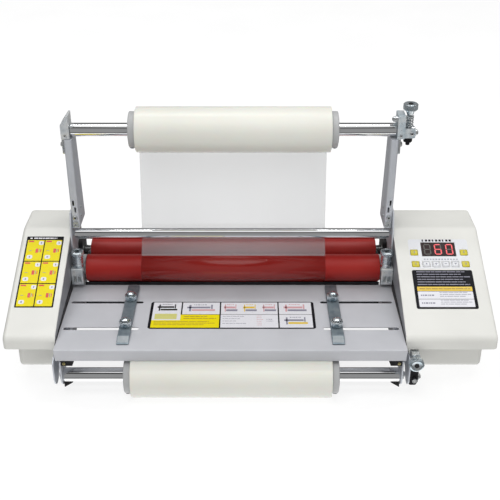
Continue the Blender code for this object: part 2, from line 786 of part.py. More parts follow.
def mandrel_brackets():
    """The left bracket has a slanted shoulder; the right one carries the brake and its knob."""
    foot = POST_Z[1] + GAP
    outer, inner = LEFT_BRACKET_X
    shoulder, peak = LEFT_BRACKET_Z
    corners = [(outer, foot), (inner, foot), (inner, peak), (LEFT_BRACKET_PEAK_X, peak), (outer, shoulder)]
    beside_post = POST_X[0] - GAP
    left = mandrel_bracket("left_mandrel_bracket", corners, (beside_post - TONGUE_THICK, beside_post))
    mandrel_bore(left, LEFT_BRACKET_X)

    inner, outer = RIGHT_BRACKET_X
    corners = [(inner, foot), (outer, foot), (outer, RIGHT_BRACKET_TOP), (inner, RIGHT_BRACKET_TOP)]
    beside_post = mirror_x(POST_X[0]) + GAP
    right = mandrel_bracket("right_mandrel_bracket", corners, (beside_post, beside_post + TONGUE_THICK))
    join(right, box("brake_block", (outer - 0.001, BRAKE_END), BRAKE_Y, (foot, BRAKE_TOP), "zinc"))
    mandrel_bore(right, (inner, BRAKE_END))
    well = stud_well("stud_well", STUD_RADIUS + GAP, UPPER_STUD_END - WELL_FLOOR, BRAKE_TOP + CUT_REACH)
    well.location = (BRAKE_KNOB_X, UPPER_SUPPLY[0], 0)
    cut(right, well)


def stud_well(name, radius, bottom, top):
    """A blind hole's cutter round the Z axis."""
    return turned(name, [(0, top), (radius, top), (radius, bottom), (0, bottom)], "zinc", 16)


def lower_bracket(name, x_span, outward, with_brake):
    """Two cheeks joined by a rear web, hanging below the table's front, with the mandrel's bearing."""
    y, z = LOWER_SUPPLY
    turns = [math.pi + math.radians(step) for step in (0, 30, 60, 90, 120, 150)]
    lobe = [(y + LOBE_RADIUS * math.cos(t), z + LOBE_RADIUS * math.sin(t)) for t in turns]
    outline = [(y - LOBE_RADIUS, HANGER_TOP - 0.004), *lobe, (-0.080, 0.030), (HANGER_REAR, 0.034)]
    outline += [(HANGER_REAR, HANGER_TOP), (-0.100, HANGER_TOP)]
    cheeks = side_shape(name, [outline], x_span, "grey_paint")
    hollow_x = (x_span[0] + CHEEK, x_span[1] - CHEEK)
    hollow_y = (-0.130, HANGER_REAR - 0.0028)
    cut(cheeks, box(name + "_hollow", hollow_x, hollow_y, (0.0, 0.080), "grey_paint"))
    plate = PLATE_LEFT + GAP if outward < 0 else PLATE_RIGHT - GAP
    inner = x_span[1] if outward < 0 else x_span[0]
    tongue_y = (HANGER_REAR - 0.0021, -0.030)
    tongue_x = sorted((plate, inner))
    join(cheeks, box(name + "_tongue", tongue_x, tongue_y, (0.034, HANGER_TOP - 0.0005), "grey_paint"))
    bore_x = (inner - 2 * CHEEK, inner + 2 * CHEEK)
    cut(cheeks, rod(name + "_bore", MANDREL_RADIUS + GAP, bore_x, y, z, "grey_paint", 24))
    if with_brake:
        arm = box("brake_arm", (x_span[1] - 0.0005, BRAKE_ARM_END), BRAKE_ARM_Y, BRAKE_ARM_Z, "grey_paint")
        join(cheeks, arm)
        mouth = -BRAKE_ARM_Y[0] + CUT_REACH
        well = stud_well("lower_well", STUD_RADIUS + GAP, LOWER_STUD_END - WELL_FLOOR, mouth)
        well.rotation_euler = FORWARD
        well.location = (BRAKE_KNOB_X, 0, LOWER_KNOB_Z)
        cut(cheeks, well)


def bearing_block(name, outward):
    """A block on the side plate for the upper front roller, with the pressure screw's well."""
    xs = (PLATE_LEFT + GAP, PLATE_LEFT + GAP + BLOCK_WIDTH)
    knob_x = PRESSURE_KNOB[0]
    if outward > 0:
        xs, knob_x = mirror_span(xs), mirror_x(knob_x)
    corners = [(BLOCK_Y[0], BLOCK_Z[0], 0), (BLOCK_Y[1], BLOCK_Z[0], 0)]
    corners += [(BLOCK_Y[1], BLOCK_Z[1], 0.004), (BLOCK_Y[0], BLOCK_Z[1], 0.002)]
    hole = circle(FRONT_AXIS_Y, UPPER_AXIS_Z, JOURNAL_RADIUS + GAP)
    block = side_shape(name, [rounded(corners, 3), hole], xs, "zinc")
    well = stud_well(name + "_well", PRESSURE_STUD + GAP, PRESSURE_END - WELL_FLOOR, PRESSURE_TOP)
    well.location = (knob_x, PRESSURE_KNOB[1], 0)
    cut(block, well)


def posts_and_brackets():
    left, right = POST_X, mirror_span(POST_X)
    post("left_post", left, -1, PLATE_LEFT + GAP)
    post("right_post", right, 1, PLATE_RIGHT - GAP)
    mandrel_brackets()
    lower_bracket("left_lower_roll_bracket", LEFT_HANGER_X, -1, False)
    lower_bracket("right_lower_roll_bracket", RIGHT_HANGER_X, 1, True)
    bearing_block("left_bearing_block", -1)
    bearing_block("right_bearing_block", 1)


# ---------------------------------------------------------------- knobs
def tension_knob(name, head, tip, reach):
    """A brake knob: a thick head, a conical neck and a stud, as heights along its own axis."""
    neck = head - HEAD_THICK
    profile = [
        (0, head),
        (HEAD_RADIUS - 0.001, head),
        (HEAD_RADIUS, head - 0.001),
        (HEAD_RADIUS, neck + 0.001),
        (HEAD_RADIUS - 0.0007, neck),
        (NECK_RADII[0], neck),
        (NECK_RADII[1], neck - tip),
        (STUD_RADIUS, neck - tip),
        (STUD_RADIUS, reach),
        (0, reach),
    ]
    return turned(name, profile, "zinc", steps=20)


def pressure_knob(name, x):
    """A pressure screw: a wide flange on a barrel, with its stud in the bearing block."""
    rim, barrel = FLANGE_RADIUS, FLANGE_RADIUS - 0.0015
    foot = BLOCK_Z[1] + GAP
    profile = [
        (0, PRESSURE_TOP),
        (rim - 0.0013, PRESSURE_TOP),
        (rim, PRESSURE_TOP - 0.0015),
        (rim, PRESSURE_TOP - 0.0050),
        (barrel, PRESSURE_TOP - 0.0065),
        (barrel, foot),
        (PRESSURE_STUD, foot),
        (PRESSURE_STUD, PRESSURE_END),
        (0, PRESSURE_END),
    ]
    knob = turned(name, profile, "zinc", steps=20)
    knob.location = (x, PRESSURE_KNOB[1], 0)


def knobs():
    upper = tension_knob("upper_tension_knob", UPPER_HEAD_Z, 0.006, UPPER_STUD_END)
    upper.location = (BRAKE_KNOB_X, UPPER_SUPPLY[0], 0)
    lower = tension_knob("lower_tension_knob", LOWER_HEAD_REACH, 0.004, LOWER_STUD_END)
    lower.rotation_euler = FORWARD
    lower.location = (BRAKE_KNOB_X, 0, LOWER_KNOB_Z)
    pressure_knob("left_pressure_knob", PRESSURE_KNOB[0])
    pressure_knob("right_pressure_knob", mirror_x(PRESSURE_KNOB[0]))


# ---------------------------------------------------------------- feed table
def slot_outline(x_span, y):
    left, right = x_span
    r = SLOT_HALF_WIDTH
    quarter = [math.pi * i / 6 for i in range(7)]
    right_end = [(right + r * math.sin(t), y - r * math.cos(t)) for t in quarter]
    left_end = [(left - r * math.sin(t), y + r * math.cos(t)) for t in quarter]
    return right_end + left_end


def feed_table():
    """A folded sheet with an apron along its front edge and two rows of slots at each side."""
    front, hem = TABLE_FRONT, TABLE_FRONT + APRON_TUCK
    under = TABLE_TOP - SHEET
    corners = [(hem, APRON_BOTTOM, 0), (hem + SHEET, APRON_BOTTOM, 0), (front + SHEET, under, 0)]
    corners += [(TABLE_REAR, under, 0), (TABLE_REAR, TABLE_TOP, 0), (front, TABLE_TOP, SHEET * 0.9)]
    table = side_shape(
        "feed_table", [rounded(corners, 3)], (PLATE_LEFT + GAP, PLATE_RIGHT - GAP), "grey_paint"
    )
    for side, span in (("left", SLOT_X), ("right", mirror_span(SLOT_X))):
        for row, y in enumerate(SLOT_ROWS):
            slot = flat_shape(f"{side}_slot_{row}", [slot_outline(span, y)], 0.010, "grey_paint")
            slot.location = (0, 0, TABLE_TOP - SHEET / 2)
            cut(table, slot)


def side_guide(name, x):
    """A flat bar with a ramped front end, and the two thumb screws that clamp it through the slots."""
    foot = TABLE_TOP + GAP
    top = foot + GUIDE_THICK
    front, rear = GUIDE_Y
    nose = foot + NOSE_THICK
    outline = [(front, foot), (rear, foot), (rear, top), (front + RAMP_LENGTH, top), (front, nose)]
    half = GUIDE_WIDTH / 2
    bar = side_shape(name, [outline], (-half, half), "zinc")
    bar.location = (x, 0, 0)
    under = TABLE_TOP - SHEET - GAP
    profile = [
        (0, top + THUMB_HEIGHT),
        (THUMB_RADIUS - 0.0026, top + THUMB_HEIGHT - 0.0004),
        (THUMB_RADIUS, top + THUMB_HEIGHT - 0.0022),
        (THUMB_RADIUS, top - 0.001),
        (SCREW_RADIUS, top - 0.001),
        (SCREW_RADIUS, under),
        (NUT_RADIUS, under),
        (NUT_RADIUS, under - NUT_THICK),
        (0, under - NUT_THICK),
    ]
    for row, y in enumerate(SLOT_ROWS):
        screw = turned(f"{name}_screw_{row}", profile, "zinc", steps=14)
        screw.location = (x, y, 0)
        join(bar, screw)


# ---------------------------------------------------------------- assembly
for leftover in list(bpy.data.objects):
    bpy.data.objects.remove(leftover)
PARTS = bpy.data.collections.new("roll_laminator")
CUTTERS = bpy.data.collections.new("cutters")
for group in (PARTS, CUTTERS):
    bpy.context.scene.collection.children.link(group)
CUTTERS.hide_render = True

PANEL = panel_frame()
side_plates()
base_pan()
feet()
casings()
panel_parts()
for level, height in (("lower", LOWER_AXIS_Z), ("upper", UPPER_AXIS_Z)):
    for place, depth in (("front", FRONT_AXIS_Y), ("rear", REAR_AXIS_Y)):
        roller(f"{level}_{place}", depth, height)
idler()
drive_train()
supply("upper", UPPER_FILM_X, UPPER_SUPPLY, UPPER_BODY_X, UPPER_JOURNAL_X)
supply("lower", LOWER_FILM_X, LOWER_SUPPLY, LOWER_BODY_X, LOWER_JOURNAL_X)
film_web()
posts_and_brackets()
knobs()
feed_table()
side_guide("left_side_guide", GUIDE_X)
side_guide("right_side_guide", mirror_x(GUIDE_X))
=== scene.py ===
"""Looks of the desktop roll laminator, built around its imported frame. Metres, +Z up, feed side at -Y."""

import math

import bmesh
import bpy
from mathutils import Matrix, Vector


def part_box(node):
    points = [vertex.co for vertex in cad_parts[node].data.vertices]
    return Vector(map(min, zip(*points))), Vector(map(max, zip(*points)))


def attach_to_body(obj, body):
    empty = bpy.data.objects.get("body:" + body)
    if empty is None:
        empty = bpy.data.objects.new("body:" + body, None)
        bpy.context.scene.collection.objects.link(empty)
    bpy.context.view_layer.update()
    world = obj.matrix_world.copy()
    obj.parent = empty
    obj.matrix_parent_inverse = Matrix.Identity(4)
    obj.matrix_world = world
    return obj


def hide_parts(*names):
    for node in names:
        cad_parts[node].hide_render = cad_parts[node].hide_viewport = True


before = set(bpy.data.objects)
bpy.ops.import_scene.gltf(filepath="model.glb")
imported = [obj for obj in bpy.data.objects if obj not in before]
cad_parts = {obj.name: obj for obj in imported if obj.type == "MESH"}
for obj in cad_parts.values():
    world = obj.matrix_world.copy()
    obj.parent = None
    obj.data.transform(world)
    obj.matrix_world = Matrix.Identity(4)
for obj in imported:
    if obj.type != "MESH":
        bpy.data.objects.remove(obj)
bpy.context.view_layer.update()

SIDES = (("left", -1), ("right", 1))
WALL = 0.0025
GAP = 0.0003
FINE = 96  # steps round a large turned piece
TINY = 1e-7
SHARP = 32  # degrees between faces from which an edge is left sharp
END_CLOSING = 0.045  # how far a spring's end turns are pushed together
TOOTH_STEPS = 4  # steps of a toothed ring: two on the tooth and two in the gap


# ---------------------------------------------------------------- places read from the frame
def middle(node):
    low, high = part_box(node)
    return (low + high) / 2


def span(node, axis):
    low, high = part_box(node)
    return low[axis], high[axis]


PLATE_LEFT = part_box("left_side_plate")[1].x
PLATE_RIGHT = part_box("right_side_plate")[0].x
CENTRE_X = (PLATE_LEFT + PLATE_RIGHT) / 2
COVER_FRONT, COVER_REAR = span("left_casing_cover", 1)
COVER_BOTTOM, COVER_TOP = span("left_casing_cover", 2)
SLOPE_START = Vector((COVER_FRONT, COVER_BOTTOM + 0.0145))
SLOPE_END = Vector((0.050, COVER_TOP))
SLOPE = math.atan2(SLOPE_END.y - SLOPE_START.y, SLOPE_END.x - SLOPE_START.x)
PANEL_ORIGIN = Vector((0, 0, SLOPE_START.y - SLOPE_START.x * math.tan(SLOPE)))
PANEL = Matrix.Translation(PANEL_ORIGIN) @ Matrix.Rotation(SLOPE, 4, "X")
TABLE_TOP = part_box("feed_table")[1].z


def mirror_x(x):
    """The same place on the other side of the film's centre line."""
    return 2 * CENTRE_X - x


# ---------------------------------------------------------------- materials
NOISE_LOW, NOISE_HIGH = 0.3, 0.7  # the part of a noise's range that nearly all of its values lie in


def add_node(tree, kind, operation=None, **inputs):
    """Adds a node; each input is given a value, or is joined to another node's output."""
    made = tree.nodes.new(kind)
    if operation:
        made.operation = operation
    for name, value in inputs.items():
        socket = made.inputs[name.replace("_", " ")]
        if isinstance(value, bpy.types.NodeSocket):
            tree.links.new(value, socket)
        else:
            socket.default_value = value
    return made


def fill_ramp(ramp, bands):
    """Gives a colour ramp its stops, from pairs of a position and a colour."""
    stops = ramp.color_ramp.elements
    while len(stops) < len(bands):
        stops.new(0.5)
    for stop, (position, colour) in zip(stops, bands):
        stop.position = position
        stop.color = (*colour, 1)


class Finish:
    """A procedural Principled material, built one layer at a time."""

    def __init__(self, name, roughness, metallic=0.0, **fixed):
        self.made = bpy.data.materials.new(name)
        self.made.use_nodes = True
        self.tree = self.made.node_tree
        self.shader = self.tree.nodes["Principled BSDF"]
        for socket, value in {"Roughness": roughness, "Metallic": metallic, **fixed}.items():
            self.shader.inputs[socket.replace("_", " ")].default_value = value
        self.place = self.node("ShaderNodeTexCoord").outputs["Object"]
        self.normal = None

    def node(self, kind, operation=None, **inputs):
        return add_node(self.tree, kind, operation, **inputs)

    def polar(self, along, across):
        """Coordinates of a turned piece: place along its X axis, and distance from it."""
        parts = self.node("ShaderNodeSeparateXYZ", Vector=self.place).outputs
        flat = self.node("ShaderNodeCombineXYZ", Y=parts["Y"], Z=parts["Z"])
        radius = self.node("ShaderNodeVectorMath", "LENGTH", Vector=flat.outputs[0])
        joined = self.node("ShaderNodeCombineXYZ", X=parts["X"], Y=radius.outputs["Value"])
        scaled = self.node("ShaderNodeVectorMath", "MULTIPLY", Vector=joined.outputs[0])
        scaled.inputs[1].default_value = (along, across, 0)
        return scaled.outputs[0]

    def noise(self, scale, stretch=(1, 1, 1), detail=3.0, vector=None):
        vector = vector or self.node("ShaderNodeMapping", Scale=stretch, Vector=self.place).outputs["Vector"]
        return self.node("ShaderNodeTexNoise", Scale=scale, Detail=detail, Vector=vector).outputs["Fac"]

    def coloured(self, value, *colours):
        """Spreads two or more colours evenly over a noise's range, as the base colour."""
        ramp = self.node("ShaderNodeValToRGB", Fac=value)
        places = [NOISE_LOW + (NOISE_HIGH - NOISE_LOW) * i / (len(colours) - 1) for i in range(len(colours))]
        fill_ramp(ramp, list(zip(places, colours)))
        self.tree.links.new(ramp.outputs["Color"], self.shader.inputs["Base Color"])

    def rough(self, value, low, high):
        ranged = self.node("ShaderNodeMapRange", Value=value, From_Min=NOISE_LOW, From_Max=NOISE_HIGH,
                           To_Min=low, To_Max=high)
        self.tree.links.new(ranged.outputs["Result"], self.shader.inputs["Roughness"])

    def bumped(self, value, distance, strength):
        bump = self.node("ShaderNodeBump", Distance=distance, Strength=strength, Height=value)
        if self.normal:
            self.tree.links.new(self.normal, bump.inputs["Normal"])
        self.normal = bump.outputs["Normal"]
        self.tree.links.new(self.normal, self.shader.inputs["Normal"])


def shade(colour, factor):
    return tuple(min(channel * factor, 1.0) for channel in colour)


def moulded(name, colour, roughness, grain=0.00006, **fixed):
    """Injection moulded plastic: spark-eroded grain, faint flow marks and handling polish."""
    finish = Finish(name, roughness, **fixed)
    flow = finish.noise(14, (1, 1.6, 1), 2)
    finish.coloured(flow, shade(colour, 0.965), colour, shade(colour, 1.025))
    finish.rough(finish.noise(55, detail=4), roughness - 0.06, roughness + 0.07)
    finish.bumped(finish.noise(1900, detail=2), grain, 0.5)
    return finish.made


def painted(name, colour, roughness, metallic=0.0):
    """Powder coat on sheet steel: orange peel, small specks and uneven sheen."""
    finish = Finish(name, roughness, metallic)
    cloud = finish.noise(22, detail=5)
    finish.coloured(cloud, shade(colour, 0.95), colour, shade(colour, 1.04))
    finish.rough(finish.noise(90, detail=3), roughness - 0.07, roughness + 0.08)
    finish.bumped(finish.noise(650, detail=1), 0.00010, 0.55)
    finish.bumped(finish.noise(3200, detail=2), 0.00003, 0.4)
    return finish.made


def plated(name, colours, roughness, streak=(1, 1, 1), metallic=1.0):
    """Zinc or nickel plate on steel: passivation clouds, crystalline grain and drawn streaks."""
    finish = Finish(name, roughness, metallic)
    finish.coloured(finish.noise(130, detail=4), *colours)
    finish.rough(finish.noise(420, streak, 3), roughness - 0.09, roughness + 0.12)
    finish.bumped(finish.noise(1500, streak, 2), 0.00005, 0.6)
    return finish.made


def polished(name, colour, roughness):
    """Hard chrome on a ground bar: fine turning marks across it and faint wear along it."""
    finish = Finish(name, roughness, 1.0)
    wear = finish.noise(1, detail=3, vector=finish.polar(30, 200))
    finish.coloured(wear, shade(colour, 0.94), colour)
    turning = finish.noise(1, detail=2, vector=finish.polar(2600, 900))
    finish.rough(turning, max(roughness - 0.04, 0.02), roughness + 0.05)
    finish.bumped(turning, 0.000004, 0.5)
    return finish.made


def silicone_rubber():
    """Ground silicone: fine grinding marks round the roller, with a dusty bloom."""
    finish = Finish("silicone", 0.40, Specular_IOR_Level=0.40)
    bloom = finish.noise(30, (0.35, 1, 1), 4)
    finish.coloured(bloom, (0.285, 0.010, 0.008), (0.335, 0.014, 0.011), (0.37, 0.021, 0.016))
    grinding = finish.noise(1, detail=3, vector=finish.polar(1500, 400))
    finish.rough(grinding, 0.34, 0.46)
    finish.bumped(grinding, 0.00003, 0.5)
    return finish.made


def wound_film():
    """A wound roll of film: winding bands along it, and the edges of its turns on the ends."""
    finish = Finish("wound_film", 0.33, Subsurface_Weight=0.12, Subsurface_Scale=0.004)
    turns = finish.noise(1, detail=4, vector=finish.polar(2.5, 5200))
    finish.coloured(turns, (0.70, 0.69, 0.62), (0.80, 0.80, 0.735), (0.83, 0.83, 0.78))
    bands = finish.noise(1, detail=2, vector=finish.polar(7, 2600))
    finish.rough(bands, 0.25, 0.40)
    finish.bumped(bands, 0.00004, 0.4)
    return finish.made


def film_sheet():
    """One skin of frosted film: partly clear, with faint draw lines down the web and soft waves."""
    finish = Finish("free_film", 0.22, Alpha=0.26, IOR=1.49, Specular_IOR_Level=0.6)
    draw = finish.noise(1, detail=2, stretch=(140, 2, 2))
    finish.coloured(draw, (0.540, 0.550, 0.568), (0.560, 0.572, 0.590))
    finish.rough(finish.noise(60, (1, 0.2, 0.2)), 0.16, 0.28)
    finish.bumped(finish.noise(9, (3, 0.4, 0.4), 1), 0.0004, 0.3)
    return finish.made


def film_on_rubber():
    """Film that lies flat on the hot roller: the red shows through a clear and glossy skin."""
    finish = Finish("wrapped_film", 0.14, Alpha=0.85, IOR=1.49, Specular_IOR_Level=0.9)
    finish.coloured(finish.noise(30, (0.35, 1, 1), 4), (0.285, 0.014, 0.011), (0.335, 0.020, 0.015))
    finish.rough(finish.noise(45, (1, 0.3, 0.3)), 0.13, 0.19)
    finish.bumped(finish.noise(500, (1, 0.3, 0.3), 1), 0.000002, 0.2)
    return finish.made


def rubber():
    """Black moulded rubber, dull and a little mottled."""
    colour = (0.022, 0.022, 0.023)
    finish = Finish("rubber", 0.75)
    finish.coloured(finish.noise(160, detail=5), shade(colour, 0.7), colour, shade(colour, 1.6))
    finish.rough(finish.noise(300), 0.62, 0.88)
    finish.bumped(finish.noise(900, detail=3), 0.00010, 0.7)
    return finish.made


def printed(name, colour, roughness=0.32, gloss=0.4):
    """Screen-printed vinyl: dot grain in the ink and a slightly wavy surface."""
    finish = Finish(name, roughness, Specular_IOR_Level=gloss)
    finish.coloured(finish.noise(2400, detail=1), shade(colour, 0.93), colour, shade(colour, 1.05))
    finish.rough(finish.noise(200), roughness - 0.06, roughness + 0.08)
    finish.bumped(finish.noise(120, detail=1), 0.00005, 0.3)
    return finish.made


def lit_segment():
    """A light-emitting segment behind its diffuser."""
    colour = (0.78, 0.085, 0.095)
    finish = Finish("led_on", 0.3, Emission_Strength=0.42, Emission_Color=(*colour, 1))
    finish.coloured(finish.noise(900, detail=1), shade(colour, 0.9), colour)
    return finish.made


def smoked_window():
    """The display's tinted window, nearly black and glossy."""
    finish = Finish("smoked_window", 0.08, Specular_IOR_Level=0.25)
    finish.coloured(finish.noise(500, detail=2), (0.024, 0.016, 0.017), (0.036, 0.020, 0.021))
    finish.rough(finish.noise(90, detail=4), 0.05, 0.14)
    finish.bumped(finish.noise(60, detail=1), 0.00002, 0.3)
    return finish.made


ZINC = ((0.58, 0.63, 0.66), (0.74, 0.77, 0.79), (0.83, 0.83, 0.80))
BLUE_ZINC = ((0.52, 0.62, 0.68), (0.68, 0.75, 0.79), (0.82, 0.85, 0.86))
GUIDE_STEEL = ((0.19, 0.235, 0.27), (0.25, 0.30, 0.335), (0.30, 0.355, 0.385))
# lighter steel for the guides' ramped noses: painted light, the ramp shown brighter than the flat bar
RAMP_LIGHT_STEEL = ((0.36, 0.40, 0.42), (0.44, 0.47, 0.49))
BRUSHED = (1, 0.06, 1)

M = {  # every finish, by the short name that the pieces use
    "cream": moulded("cream_plastic", (0.730, 0.728, 0.690), 0.42),
    "table": painted("table_coat", (0.520, 0.527, 0.558), 0.40),
    "post": painted("post_coat", (0.62, 0.645, 0.69), 0.38, metallic=0.35),
    "plate": painted("plate_coat", (0.26, 0.27, 0.29), 0.45, metallic=0.3),
    "pan": painted("pan_coat", (0.55, 0.56, 0.57), 0.45),
    "zinc": plated("zinc_plate", ZINC, 0.30),
    "blue_zinc": plated("blue_zinc", BLUE_ZINC, 0.24),
    "zinc_sheet": plated("zinc_sheet", ZINC, 0.36, metallic=0.5),
    "blue_zinc_sheet": plated("blue_zinc_sheet", BLUE_ZINC, 0.34, metallic=0.5),
    "guide": plated("guide_steel", GUIDE_STEEL, 0.46, BRUSHED, 0.7),
    "bright_guide": plated("worn_guide_steel", RAMP_LIGHT_STEEL, 0.5, BRUSHED, 0.6),
    "chrome": polished("hard_chrome", (0.90, 0.91, 0.92), 0.07),
    "bar": polished("ground_bar", (0.86, 0.87, 0.88), 0.10),
    "silicone": silicone_rubber(),
    "film": wound_film(),
    "web": film_sheet(),
    "hot_web": film_on_rubber(),
    "collar": moulded("collar_plastic", (0.44, 0.445, 0.45), 0.45, 0.00009),
    "nylon": moulded("nylon", (0.72, 0.71, 0.66), 0.5, Subsurface_Weight=0.1, Subsurface_Scale=0.002),
    "steel": plated("cut_steel", ((0.30, 0.30, 0.31), (0.45, 0.45, 0.46)), 0.35, (1, 8, 8)),
    "motor": plated("motor_steel", ((0.24, 0.24, 0.25), (0.36, 0.36, 0.37)), 0.4),
    "rubber": rubber(),
    "black": moulded("black_plastic", (0.018, 0.018, 0.019), 0.38, 0.00008),
    "oxide": plated("black_oxide", ((0.010, 0.010, 0.011), (0.030, 0.030, 0.034)), 0.38, metallic=0.6),
    "brass": plated("yellow_passivate", ((0.50, 0.42, 0.16), (0.62, 0.56, 0.30)), 0.35),
    "window": smoked_window(),
    "led": lit_segment(),
    "led_off": printed("led_off", (0.075, 0.070, 0.062)),
    "yellow_key": moulded("yellow_key", (0.58, 0.50, 0.028), 0.36, 0.00005),
    "white_key": moulded("white_key", (0.74, 0.75, 0.77), 0.36, 0.00005),
    "ink_black": printed("ink_black", (0.007, 0.007, 0.010), 0.45, 0.12),
    "ink_white": printed("ink_white", (0.72, 0.72, 0.76)),
    "ink_yellow": printed("ink_yellow", (0.78, 0.66, 0.004), 0.4, 0.2),
    "ink_amber": printed("ink_amber", (0.72, 0.50, 0.04)),
    "ink_ochre": printed("ink_ochre", (0.40, 0.26, 0.03)),
    "ink_lime": printed("ink_lime", (0.60, 0.58, 0.20)),
    "ink_red": printed("ink_red", (0.62, 0.055, 0.045)),
    "ink_grey": printed("ink_grey", (0.24, 0.24, 0.30)),
    "ink_rose": printed("ink_rose", (0.62, 0.34, 0.36)),
    "overlay": printed("keypad_film", (0.735, 0.745, 0.775), 0.38),
}
PLATED = ("zinc", "oxide")  # a screw, and the painted shade of its socket
BLUE_PLATED = ("blue_zinc", "oxide")


# ---------------------------------------------------------------- mesh helpers
def eased(points, radius=0.0, cyclic=True, steps=4):
    """An outline with rounded corners; a point's third value is its own radius."""
    made = []
    count = len(points)
    for i, point in enumerate(points):
        here = Vector(point[:2])
        size = point[2] if len(point) > 2 else radius
        back = Vector(points[i - 1][:2]) - here
        ahead = Vector(points[(i + 1) % count][:2]) - here
        at_end = not cyclic and i in (0, count - 1)
        if at_end or size == 0 or min(back.length, ahead.length) < TINY:
            made.append(tuple(here))
            continue
        opening = back.angle(ahead)
        if opening > math.pi - 0.02 or opening < 0.02:
            made.append(tuple(here))
            continue
        reach = min(size / math.tan(opening / 2), back.length * 0.48, ahead.length * 0.48)
        size = reach * math.tan(opening / 2)
        centre = here + (back.normalized() + ahead.normalized()).normalized() * size / math.sin(opening / 2)
        start = here + back.normalized() * reach - centre
        end = here + ahead.normalized() * reach - centre
        first = math.atan2(start.y, start.x)
        sweep = (math.atan2(end.y, end.x) - first + math.pi) % (2 * math.pi) - math.pi
        for step in range(steps + 1):
            turn = first + sweep * step / steps
            made.append((centre.x + size * math.cos(turn), centre.y + size * math.sin(turn)))
    return made


def rectangle(xs, ys):
    return [(xs[0], ys[0]), (xs[1], ys[0]), (xs[1], ys[1]), (xs[0], ys[1])]


def round_outline(a, b, radius, count=32, phase=0.0):
    turns = [phase + 2 * math.pi * i / count for i in range(count)]
    return [(a + radius * math.cos(t), b + radius * math.sin(t)) for t in turns]


AXIS_PLACES = {
    "X": lambda a, b, c: (c, a, b),
    "Y": lambda a, b, c: (a, c, b),
    "Z": lambda a, b, c: (a, b, c),
}


def prism(bm, outline, limits, axis="X", ink=0):
    """Adds a solid with this outline between two places along an axis."""
    place = AXIS_PLACES[axis]
    low = [bm.verts.new(place(a, b, limits[0])) for a, b in outline]
    high = [bm.verts.new(place(a, b, limits[1])) for a, b in outline]
    faces = [bm.faces.new(low[::-1]), bm.faces.new(high)]
    for i in range(len(outline)):
        j = (i + 1) % len(outline)
        faces.append(bm.faces.new((low[i], low[j], high[j], high[i])))
    for face in faces:
        face.material_index = ink


def block(bm, xs, ys, zs, ink=0):
    prism(bm, rectangle(xs, ys), zs, "Z", ink)


def turned(bm, profile, steps=FINE, axis="X", centre=(0, 0, 0), teeth=0, depth=0.0, toothed=(), ink=0):
    """Adds a turned solid from (radius, place) points; the points numbered in toothed have teeth."""
    place = AXIS_PLACES[axis]
    steps = teeth * TOOTH_STEPS or steps
    rings = []
    for i, (radius, along) in enumerate(profile):
        if radius < TINY:
            rings.append([bm.verts.new(Vector(place(0, 0, along)) + Vector(centre))])
            continue
        ring = []
        for step in range(steps):
            turn = 2 * math.pi * step / steps
            in_gap = i in toothed and step % TOOTH_STEPS >= TOOTH_STEPS / 2
            size = radius - depth if in_gap else radius
            spot = place(size * math.cos(turn), size * math.sin(turn), along)
            ring.append(bm.verts.new(Vector(spot) + Vector(centre)))
        rings.append(ring)
    pairs = list(zip(rings, rings[1:]))
    if len(rings[0]) > 1 and len(rings[-1]) > 1:
        pairs.append((rings[-1], rings[0]))
    for first, second in pairs:
        for step in range(steps):
            after = (step + 1) % steps
            corners = [first[step % len(first)], first[after % len(first)]]
            corners += [second[after % len(second)], second[step % len(second)]]
            bm.faces.new(list(dict.fromkeys(corners))).material_index = ink


def rod(bm, radius, limits, axis, centre=(0, 0, 0), steps=24, ink=0):
    """Adds a plain round bar, bore or washer between two places along an axis."""
    start, end = limits
    turned(bm, [(0, start), (radius, start), (radius, end), (0, end)], steps, axis, centre, ink=ink)


def formed(shape, *values):
    """A new working mesh that holds one prism, block, rod or turned solid."""
    bm = bmesh.new()
    shape(bm, *values)
    return bm


def linked(name, data):
    """An object of the scene with this mesh, curve, light or camera."""
    obj = bpy.data.objects.new(name, data)
    bpy.context.scene.collection.objects.link(obj)
    return obj


def stored(name, bm, *finishes):
    """Turns a working mesh into a stored one with its materials."""
    mesh = bpy.data.meshes.new(name)
    bm.to_mesh(mesh)
    bm.free()
    for finish in finishes:
        mesh.materials.append(M[finish])
    return mesh


def smooth(mesh, sharp=SHARP):
    mesh.shade_smooth()
    mesh.set_sharp_from_angle(angle=math.radians(sharp))


def attach(obj, body, slot, *nodes):
    """Gives an object the body that it rides on and the CAD nodes that it replaces; the slot is not used."""
    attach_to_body(obj, body)
    if nodes:
        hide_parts(*nodes)
    return obj


def piece(name, bm, finishes, body, slot, nodes=(), bevel=0.0, sharp=SHARP, at=None):
    """Makes the mesh an object of the laminator that rides on a body."""
    bmesh.ops.recalc_face_normals(bm, faces=bm.faces)
    if at is not None:
        bmesh.ops.transform(bm, matrix=at, verts=bm.verts)
    obj = linked(name, stored(name, bm, *([finishes] if isinstance(finishes, str) else finishes)))
    smooth(obj.data, sharp)
    if bevel:
        add_bevel(obj, bevel)
    return attach(obj, body, slot, *nodes)


def add_bevel(obj, width, segments=3, limit=40):
    bevel = obj.modifiers.new("Edges", "BEVEL")
    bevel.width = width
    bevel.segments = segments
    bevel.limit_method = "ANGLE"
    bevel.angle_limit = math.radians(limit)
    bevel.harden_normals = True


def solid(bm):
    """A loose object from a working mesh, to carve with."""
    bmesh.ops.recalc_face_normals(bm, faces=bm.faces)
    return linked("cutter", stored("cutter", bm))


def cutter(shape, *values):
    return solid(formed(shape, *values))


